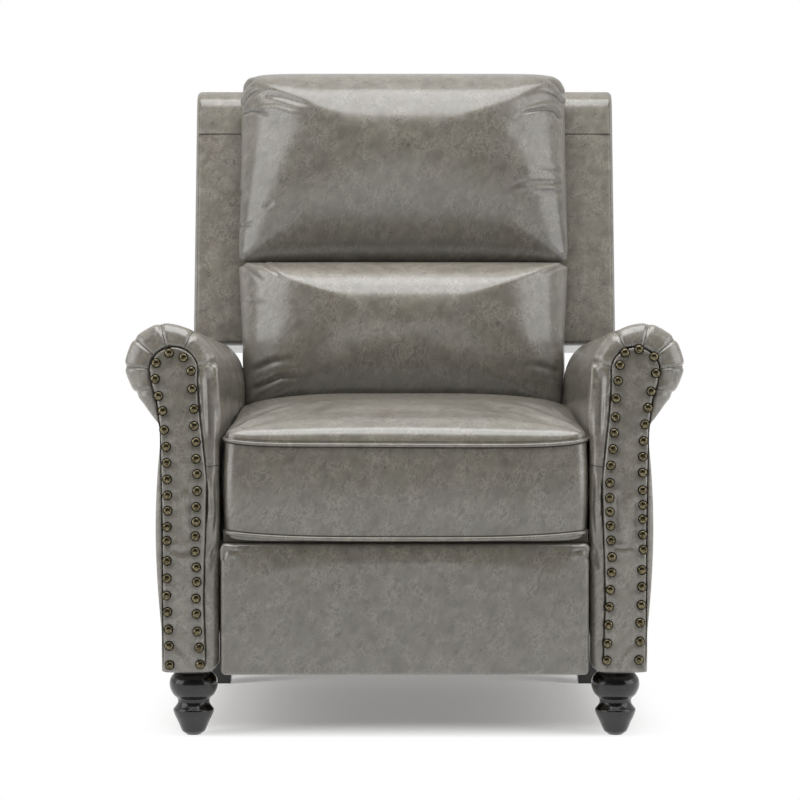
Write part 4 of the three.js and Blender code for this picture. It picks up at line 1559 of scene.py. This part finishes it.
    def build_stitches(self, cushion: bpy.types.Object) -> None:
        """Sews a row of short stitches into the cushion's top, just behind the upper welt.

        Args:
            cushion: The cushion in its final shape.
        """
        bpy.context.view_layer.update()
        tree = BVHTree.FromObject(cushion, bpy.context.evaluated_depsgraph_get())
        eye = Vector((0, FACE_Y - CAMERA.distance, CAMERA.height))
        reach = self.half_width - 9
        count = round(2 * reach / self.stitch_pitch)
        runs = []
        for x in np.linspace(-reach, reach, count):
            ends = []
            for side in (-0.26, 0.26):
                across = float(x + side * self.stitch_pitch)
                rise = float(self.edge_height(across, self.front)) + self.stitch_rise
                aim = Vector(((across + self.shift) * MM, FACE_Y + self.front * MM, rise * MM))
                hit = tree.ray_cast(eye, (aim - eye).normalized())[0]
                if hit is not None:
                    ends.append(hit)
            if len(ends) == 2:
                runs.append(ends)
        stitches = cord_mesh("seat_top_stitches", runs, 0.5 * MM, sides=1)
        dress(stitches, self.finishes.thread_and_shade, Body.SEAT)


# Footrest


@dataclass
class Footrest:
    """Plain padded footrest panel that closes the front below the seat."""

    finishes: Finishes
    half_width: float = 261.0
    bottom: float = 89.0
    top: float = 277.5
    front: float = -6.0
    rear: float = 22.0
    shift: float = 0.5

    def build(self) -> None:
        """Builds the panel and lets its cover swell."""
        low = (-self.half_width + 1, self.front + 4, self.bottom + 1)
        high = (self.half_width - 1, self.rear, self.top - 1)
        piece = padded_block("footrest_leather", low, high, (7, 7, 6), (84, 8, 34))
        reshape(piece, lambda p: p + (self.shift * MM, FACE_Y, 0))
        places = read_places(piece.data)
        sewn = ease(places[:, 1], FACE_Y + 4 * MM, FACE_Y + 12 * MM)
        Stuffing(pressure=1.2, cap=4, frames=16).swell(piece, sewn)
        refine(piece)
        press_folds(piece, [
            Fold(((584, 548), (587, 553), (588.5, 562)), 3, 1.8, 0.8),
            Fold(((226, 548), (224.5, 554), (223.5, 563)), 3, 1.8, 0.8),
            Fold(((572, 552), (581, 551), (588, 553)), 2.5, 1.6, 0.8),
            Fold(((238, 552), (230, 551), (224, 552)), 2.5, 1.6, 0.8),
        ])
        # painted shade over the whole panel, a little more at its foot
        paint_shade(piece, 0.17, 0.2)
        dress(piece, self.finishes.leather, Body.FOOTREST,
              replaces=["footrest_pad"])


# Back


@dataclass
class Pillow:
    """A stuffed pillow sewn to the front of the back, in the back's own upright frame, in mm.

    Attributes:
        name: Name of the piece.
        node: The CAD node that it stands for.
        half_width: Half its width at mid height.
        bottom: Height of its lower edge.
        top: Height of its upper edge.
        front: Depth of its fullest point.
        folds: The folds pressed into it.
        top_power: How square its upper corners are.
        bottom_power: How square its lower corners are.
        flare: Share by which it is narrower above and wider below.
        taper: Share of its thickness that is lost towards its lower edge.
        roundness: Power of its upper profile, 2 for an ellipse.
        painted_shade: Shares of painted shade over its upper part and at its foot.
        rear: Depth of its back.
        shift: How far it sits to the right.
        draw: Share by which it is narrower at its upper and lower edge.
        core: How far its widest line lies before its back.
        flatness: Power of its lower profile.
    """

    name: str
    node: str
    half_width: float
    bottom: float
    top: float
    front: float
    folds: tuple[Fold, ...]
    top_power: float
    bottom_power: float
    flare: float
    taper: float
    roundness: float
    painted_shade: tuple[float, float]
    rear: float = 9.5
    shift: float = -2.0
    draw: float = 0.006
    core: float = 34.0
    flatness: float = 2.6

    def rule(self, unit: np.ndarray) -> np.ndarray:
        """Maps the unit cube to the pillow before it swells.

        Args:
            unit: Rows of u across, v up and w towards the back.

        Returns:
            Rows of places in metres.
        """
        u, v, w = crowd_edges(unit).T
        power = np.where(v > 0, self.top_power, self.bottom_power)
        profile = self.flatness + (self.roundness - self.flatness) * ease(v, -0.4, 0.5)
        plan = (np.abs(u) ** power + np.abs(v) ** power) ** (1 / power)
        norm = np.maximum((plan ** profile + np.abs(w) ** profile) ** (1 / profile), 1e-9)
        a, b, c = u / norm, v / norm, w / norm
        centre = self.rear - self.core
        fall = 1 - self.taper * np.clip((0.65 - b) / 1.65, 0, 1) ** 1.4
        deep = np.where(c < 0, (centre - self.front) * fall, self.rear - centre)
        x = self.half_width * a * (1 - self.draw * (1 - b * b)) * (1 - self.flare * b)
        z = (self.bottom + self.top) / 2 + (self.top - self.bottom) / 2 * b
        y = centre + deep * c
        y = np.minimum(y, self.rear - 1)
        return lean_back(np.stack([x + self.shift, y, z], 1) * MM)

    def build(self, finish: bpy.types.Material) -> None:
        """Builds the pillow, lets it swell and presses its folds.

        Args:
            finish: Its leather.
        """
        height = self.top - self.bottom
        piece = new_piece(self.name, box_form(80, max(30, round(height / 6.0)), 20))
        unit = read_places(piece.data)
        write_places(piece.data, self.rule(unit))
        flip_outward(piece)
        sewn = ease(unit[:, 2], 0.1, 0.5)
        Stuffing(pressure=2.2, cap=12, frames=16).swell(piece, sewn)
        refine(piece)
        press_folds(piece, self.folds)
        # painted shade, most at the pillow's foot
        paint_shade(piece, *self.painted_shade)
        dress(piece, finish, Body.BACK, replaces=[self.node])


def head_folds() -> tuple[Fold, ...]:
    """Gathers at the head pillow's upper corners and the soft dents of its face."""
    return (
        Fold(((241.5, 94), (247, 84), (258, 76)), 2.4, 3.4, 0.5, start=0.05, end=0.4),
        Fold(((242.5, 106), (246, 99), (252, 93), (264, 87)), 2.2, 4.0, 0.6, start=0.03, end=0.5),
        Fold(((260, 94), (281, 96.5), (303, 103), (317, 107)), 5.0, 2.6, 0.2, start=0.3, end=0.5),
        Fold(((252, 107), (275, 106), (291, 111.5), (316, 117)), 2.6, -2.4, 0.0, start=0.1,
             end=0.5),
        Fold(((243.5, 114), (252, 110.5), (261, 112), (273, 118.5)), 2.6, 3.6, 0.3, 1, 0.02, 0.4),
        Fold(((262, 122), (286, 125), (304, 124)), 12.0, 0.9, 0.0, start=0.3, end=0.5),
        Fold(((238.5, 194), (247, 191)), 4.0, 2.0, 0.5, start=0.05, end=0.7),
        Fold(((238.5, 227), (248, 225), (259, 221)), 3.5, 2.0, 0.5, start=0.05, end=0.7),
        Fold(((263, 206), (275, 203)), 5.0, 1.2, 0.3, start=0.4, end=0.4),
        Fold(((239, 254), (245, 257), (251, 262)), 2.4, 1.2, 0.5, start=0.05, end=0.4),
        Fold(((564, 104), (556, 96), (546, 91), (536, 88)), 2.4, 4.0, 0.5, start=0.03, end=0.5),
        Fold(((563, 94), (556, 84), (545, 77)), 2.4, 3.2, 0.5, start=0.05, end=0.4),
        Fold(((560, 119), (555, 112), (545, 109), (528, 111.5), (511, 118)), 2.8, 3.6, 0.4, 0, 0.02,
             0.5),
        Fold(((557, 107), (546, 104), (532, 105)), 2.6, -2.0, 0.0, start=0.1, end=0.5),
        Fold(((528, 128), (506, 130)), 12.0, 0.9, 0.0, start=0.3, end=0.5),
        Fold(((561, 172), (548, 167), (526, 166)), 4.0, 1.8, 0.5, start=0.05, end=0.6),
        Fold(((562, 183), (540, 182), (522, 182.5), (507, 187)), 3.6, 2.4, 0.6, start=0.05,
             end=0.6),
        Fold(((561, 191), (548, 192), (532, 193.5)), 3.6, 1.8, 0.5, start=0.05, end=0.6),
        Fold(((567, 254), (561, 258), (556, 262)), 2.4, 1.2, 0.5, start=0.05, end=0.4),
    )


def lumbar_folds() -> tuple[Fold, ...]:
    """Gathers at the lumbar pillow's upper corners and the creases of its lower left part."""
    return (
        Fold(((241, 264), (250, 270), (262, 281), (268, 290)), 3.6, 2.2, 0.5, start=0.03, end=0.7),
        Fold(((262, 262), (274, 271), (285, 282)), 3.2, 1.6, 0.6, start=0.1, end=0.6),
        Fold(((568, 263), (552, 270), (536, 273)), 3.0, 2.0, 0.6, start=0.03, end=0.6),
        Fold(((241, 300), (262, 304), (282, 303)), 5.0, 1.4, 0.4, start=0.05, end=0.6),
        Fold(((250, 372), (272, 362), (300, 358)), 5.0, 1.8, 0.5, start=0.1, end=0.6),
        Fold(((252, 390), (280, 378), (312, 376)), 4.0, 2.0, 0.5, start=0.1, end=0.6),
        Fold(((560, 372), (540, 366), (520, 364)), 5.0, 1.4, 0.4, start=0.1, end=0.6),
    )


@dataclass
class Back:
    """The leaning back: slab with wings and piped edges, outside panel and two pillows.

    Lengths are in mm in the back's own upright frame, from its hinge.
    """

    finishes: Finishes
    front: float = 10.0
    rear: float = 105.0
    top: float = 677.0
    half_width: float = 352.5
    middle: float = 252.0
    wing_bottom: float = 236.0
    flap_bottom: float = 62.0
    seam: float = 597.0
    brow: float = 34.0  # height over which the wings' faces sink back below their top
    brow_sink: float = 16.0
    piping: float = 2.6

    def build_wing(self, side: Side) -> None:
        """Builds one wing with its piping and seam.

        Args:
            side: Side of the chair.
        """
        low = (self.middle + 0.4, self.front + 1, self.wing_bottom)
        high = (self.half_width, self.rear, self.top)
        piece = padded_block(f"wing_leather_{side.word}", low, high, (8, 11, 10), (22, 20, 64), 4)

        def puff(places: np.ndarray) -> np.ndarray:
            mm = places / MM
            across = (mm[:, 0] - self.middle) / (self.half_width - self.middle)
            up = (mm[:, 2] - self.wing_bottom) / (self.top - self.wing_bottom)
            dome = np.clip(1 - (2 * across - 1) ** 4, 0, 1) * np.clip(1 - (2 * up - 1) ** 10, 0, 1)
            mm[:, 1] -= 3.0 * dome * (mm[:, 1] < self.front + 13)
            sink = ease(mm[:, 2], self.top - self.brow, self.top)
            forward = (mm[:, 1] - self.front) / (self.rear - self.front)
            mm[:, 1] += sink ** 2 * self.brow_sink * (1 - forward) ** 2
            mm[:, 0] *= side.value
            return lean_back(mm * MM)

        reshape(piece, puff)
        flip_outward(piece)
        dress(piece, self.finishes.leather, Body.BACK, 1,
              [f"back_wing_{side.word}"])
        edge = self.half_width - 5.0
        rows = [(edge, self.front + 2.0, z) for z in np.linspace(self.wing_bottom + 10,
                                                                   self.top - 26, 60)]
        path = lean_back(np.array(rows) * MM * (side.value, 1, 1))
        piping = cord_mesh(f"wing_piping_{side.word}", [[Vector(p) for p in path]],
                           self.piping * MM)
        dress(piping, self.finishes.leather, Body.BACK)
        rows = [(x, self.front - 2.1, self.seam) for x in np.linspace(self.middle, edge, 12)]
        path = lean_back(np.array(rows) * MM * (side.value, 1, 1))
        # a near-black cord that paints the shade in the seam
        thread_and_shade = cord_mesh(f"wing_seam_{side.word}", [[Vector(p) for p in path]], 0.8 * MM)
        dress(thread_and_shade, self.finishes.thread_and_shade, Body.BACK)

    def build_middle(self) -> None:
        """Builds the padded middle of the slab and the outside panel behind it."""
        pad = padded_block("back_middle_leather", (-self.middle, self.front + 0.4, 62),
                           (self.middle, 40, self.top), (8, 10, 12), (48, 10, 60))
        reshape(pad, lean_back)
        flip_outward(pad)
        dress(pad, self.finishes.leather, Body.BACK, 1, ["inside_back_pad"])
        crown = padded_block("back_crown_leather", (-self.middle, 40.4, self.top - 6),
                             (self.middle, self.rear - 15.6, self.top), (3, 3, 2.6), (40, 10, 6), 2)
        reshape(crown, lean_back)
        flip_outward(crown)
        dress(crown, self.finishes.leather, Body.BACK)
        for side in Side:
            self.build_flap(side)
        panel = padded_block("outside_panel_leather", (-self.middle, self.rear - 15, 0),
                             (self.middle, self.rear, self.top), (5, 5, 5), (40, 6, 52))
        reshape(panel, lean_back)
        flip_outward(panel)
        dress(panel, self.finishes.leather, Body.BACK, 1, ["outside_back_panel"])

    def build_flap(self, side: Side) -> None:
        """Builds the slab's side cover below one wing, and the flap that closes the slit there.

        Args:
            side: Side of the chair.
        """
        flap = padded_block(f"outside_flap_leather_{side.word}",
                            (self.middle + 0.4, self.rear - 13, self.flap_bottom),
                            (self.middle + 20, self.rear - 1, self.wing_bottom + 14),
                            (4, 4, 5), (8, 6, 20))
        cover = padded_block(f"slab_side_leather_{side.word}",
                             (self.middle - 1.4, self.front + 4, 6),
                             (self.middle + 0.3, self.rear - 3, self.wing_bottom + 8),
                             (0.6, 0.6, 0.6), (2, 14, 30), 2)
        for piece in (flap, cover):
            reshape(piece, lambda p: lean_back(p * (side.value, 1, 1)))
            flip_outward(piece)
            dress(piece, self.finishes.leather, Body.BACK)

    def build_pillows(self) -> None:
        """Builds the head pillow and the lumbar pillow."""
        head = Pillow("head_pillow_leather", "head_pillow", half_width=274.0, bottom=366.0,
                      top=689.0, front=-141.0, folds=head_folds(), top_power=14.0,
                      bottom_power=24.0, flare=0.004, taper=0.66, roundness=2.1,
                      painted_shade=(0.14, 0.42))
        lumbar = Pillow("lumbar_pillow_leather", "lumbar_pillow", half_width=268.5,
                        bottom=118.0, top=365.0, front=-140.0, folds=lumbar_folds(),
                        top_power=30.0, bottom_power=34.0, flare=-0.022, taper=0.46,
                        roundness=2.3, painted_shade=(0.0, 0.4))
        for pillow in (head, lumbar):
            pillow.build(self.finishes.leather)

    def build(self) -> None:
        """Builds the whole back."""
        for side in Side:
            self.build_wing(side)
        self.build_middle()
        self.build_pillows()


@dataclass
class Base:
    """The covered panel that closes the chair behind, and the arms' inner lining, whose black
    also paints the shade in the gap behind the footrest.

    Lengths are in mm and depths are from the face of the facings.
    """

    finishes: Finishes
    lining_low: tuple[float, float, float] = (261.0, 26.0, 94.5)
    lining_high: tuple[float, float, float] = (261.8, 560.0, 270.0)

    def build(self) -> None:
        """Builds the panel with softened edges, and the lining."""
        low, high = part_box("base_back_panel")
        piece = padded_block("base_panel_leather", tuple(low / MM), tuple(high / MM), (4, 4, 4),
                             (40, 6, 20))
        flip_outward(piece)
        dress(piece, self.finishes.leather, Body.BASE, 1, ["base_back_panel"])
        self.build_lining_and_shade()

    def build_lining_and_shade(self) -> None:
        """Lines the arms' inner sides with black cambric behind the footrest; its near-black colour
        also paints the shade in the gap there.
        """
        for side in Side:
            lining = padded_block(f"arm_inner_lining_and_shade_{side.word}", self.lining_low,
                                  self.lining_high, (0.3, 0.3, 0.3), (2, 30, 10), 2)
            reshape(lining, lambda p, s=side: p * (s.value, 1, 1) + (0, FACE_Y, 0))
            flip_outward(lining)
            # near black: lining, and painted shade in the gap behind the footrest
            dress(lining, self.finishes.thread_and_shade, Body.BASE)


# Studio


@dataclass(frozen=True)
class Studio:
    """White floor and backdrop, a broad overhead light and weaker lights at both sides."""

    floor: float = 6.0
    ambient: float = 0.15
    lift: float = 0.22  # glow of the floor under the chair, as light from all round gives it
    aim: tuple[float, float, float] = (0.0, 0.0, 0.55)
    layers: tuple[tuple[float, float], ...] = ((1.25, 0.4), (0.85, 0.36), (0.5, 0.24))
    side_fade: tuple[float, float] = (0.25, 0.41)  # where the floor turns white, from the middle
    front_fade: tuple[float, float] = (0.18, -0.06)  # and from the face of the facings
    rear_fade: tuple[float, float] = (1.1, 1.7)
    softboxes: tuple[tuple[str, Place, tuple[float, float], float], ...] = (
        ("overhead", (0.0, -0.62, 2.6), (2.3, 1.5), 118.0),
        ("left", (-2.3, -1.05, 1.2), (1.4, 1.7), 49.0),
        ("right", (2.3, -1.05, 1.2), (1.4, 1.7), 45.0),
    )

    def build_floor(self) -> None:
        """Lays a floor that shows as white further out and keeps the chair's soft shadow."""
        form = bmesh.new()
        bmesh.ops.create_grid(form, x_segments=1, y_segments=1, size=self.floor)
        piece = new_piece("studio_floor", form)
        material, tree = new_finish("white_floor")
        path = add_node(tree, "LightPath")
        shows = add_node(tree, "Math", {"operation": "MAXIMUM"}, i0=path.outputs["Is Camera Ray"],
                         i1=path.outputs["Is Transmission Ray"])
        shows = add_node(tree, "Math", {"operation": "MAXIMUM"}, i0=shows.outputs[0],
                         i1=path.outputs["Is Glossy Ray"])
        where = add_node(tree, "TexCoord").outputs["Object"]
        place = add_node(tree, "SeparateXYZ", Vector=where)
        aside = add_node(tree, "Math", {"operation": "ABSOLUTE"}, i0=place.outputs["X"])
        far: bpy.types.NodeSocket | float = 0.0
        for value, near_end, far_end in (
                (aside.outputs[0], *self.side_fade),
                (place.outputs["Y"], *(FACE_Y + y for y in self.front_fade)),
                (place.outputs["Y"], *(FACE_Y + y for y in self.rear_fade))):
            fade = add_node(tree, "MapRange", {"interpolation_type": "SMOOTHSTEP"}, Value=value,
                            From_Min=near_end, From_Max=far_end)
            # 1 - (1 - a)(1 - b), so that the fades join without a crease
            far = add_node(tree, "Math", {"operation": "MULTIPLY_ADD"}, i0=fade.outputs[0],
                           i1=add_node(tree, "Math", {"operation": "SUBTRACT"}, i0=1.0,
                                       i1=far).outputs[0], i2=far).outputs[0]
        diffuse = add_node(tree, "BsdfDiffuse", Color=(0.8, 0.8, 0.8, 1))
        glow = add_node(tree, "Emission", Color=(1, 1, 1, 1), Strength=self.lift)
        near = add_node(tree, "AddShader", i0=diffuse.outputs[0], i1=glow.outputs[0])
        white = add_node(tree, "Emission", Color=(1, 1, 1, 1), Strength=1.0)
        both = add_node(tree, "MixShader", i0=far, i1=near.outputs[0],
                        i2=white.outputs[0])
        mix = add_node(tree, "MixShader", i0=shows.outputs[0], i1=diffuse.outputs[0],
                       i2=both.outputs[0])
        end_finish(tree, mix.outputs[0])
        piece.data.materials.append(material)

    def build_world(self) -> None:
        """Makes the backdrop white to the camera, and a pale grey light for dull surfaces.

        Glossy surfaces show it pale behind and beside the chair and dark towards the room in
        front, as in a studio.
        """
        world = bpy.data.worlds.new("studio")
        world.use_nodes = True
        tree = world.node_tree
        tree.nodes.clear()
        path = add_node(tree, "LightPath")
        way = add_node(tree, "SeparateXYZ",
                       Vector=add_node(tree, "TexCoord").outputs["Generated"])
        room = add_node(tree, "MapRange", {"interpolation_type": "SMOOTHSTEP"},
                        Value=way.outputs["Y"], From_Min=-0.7, From_Max=0.5, To_Min=0.05,
                        To_Max=0.62)
        glossy = add_node(tree, "MapRange", Value=path.outputs["Is Glossy Ray"],
                          To_Min=self.ambient, To_Max=room.outputs[0])
        shows = add_node(tree, "Math", {"operation": "MAXIMUM"}, i0=path.outputs["Is Camera Ray"],
                         i1=path.outputs["Is Transmission Ray"])
        strength = add_node(tree, "MapRange", Value=shows.outputs[0], To_Min=glossy.outputs[0],
                            To_Max=1.0)
        light = add_node(tree, "Background", Color=(1, 1, 1, 1), Strength=strength.outputs[0])
        add_node(tree, "OutputWorld", Surface=light.outputs[0])
        bpy.context.scene.world = world

    def build_softbox(self, name: str, place: Sequence[float], size: Sequence[float],
                      power: float) -> None:
        """Hangs nested panels that are brightest in the middle, as a softbox is.

        Args:
            name: Name of the softbox.
            place: Where it hangs, in metres.
            size: Its width and height in metres.
            power: Its power in watts.
        """
        for number, (grow, share) in enumerate(self.layers, start=1):
            self.build_light(f"{name}_{number}", place, (size[0] * grow, size[1] * grow),
                             power * share)

    def build_light(self, name: str, place: Sequence[float], size: Sequence[float],
                    power: float) -> None:
        """Hangs one soft rectangular light, turned towards the chair.

        Args:
            name: Name of the light.
            place: Where it hangs, in metres.
            size: Its width and height in metres.
            power: Its power in watts.
        """
        data = bpy.data.lights.new(name, "AREA")
        data.shape = "RECTANGLE"
        data.size, data.size_y = size
        data.energy = power
        holder = bpy.data.objects.new(name, data)
        holder.location = place
        aim = Vector(self.aim) - Vector(place)
        holder.rotation_euler = aim.to_track_quat("-Z", "Y").to_euler()
        holder.visible_camera = False
        bpy.context.scene.collection.objects.link(holder)

    def build(self) -> None:
        """Builds the whole studio."""
        self.build_floor()
        self.build_world()
        for name, place, size, power in self.softboxes:
            self.build_softbox(f"{name}_softbox", place, size, power)
        bpy.context.scene.view_settings.view_transform = "Standard"


def main() -> None:
    """Builds the studio and the chair, piece by piece."""
    logging.basicConfig(level=logging.INFO, format="%(name)s: %(message)s")
    CAMERA.build()
    Studio().build()
    finishes = Finishes()
    finishes.dress_frame()
    for side in Side:
        Arm(side, finishes).build()
    Base(finishes).build()
    Seat(finishes).build()
    Footrest(finishes).build()
    Back(finishes).build()


if __name__ == "__main__":
    main()
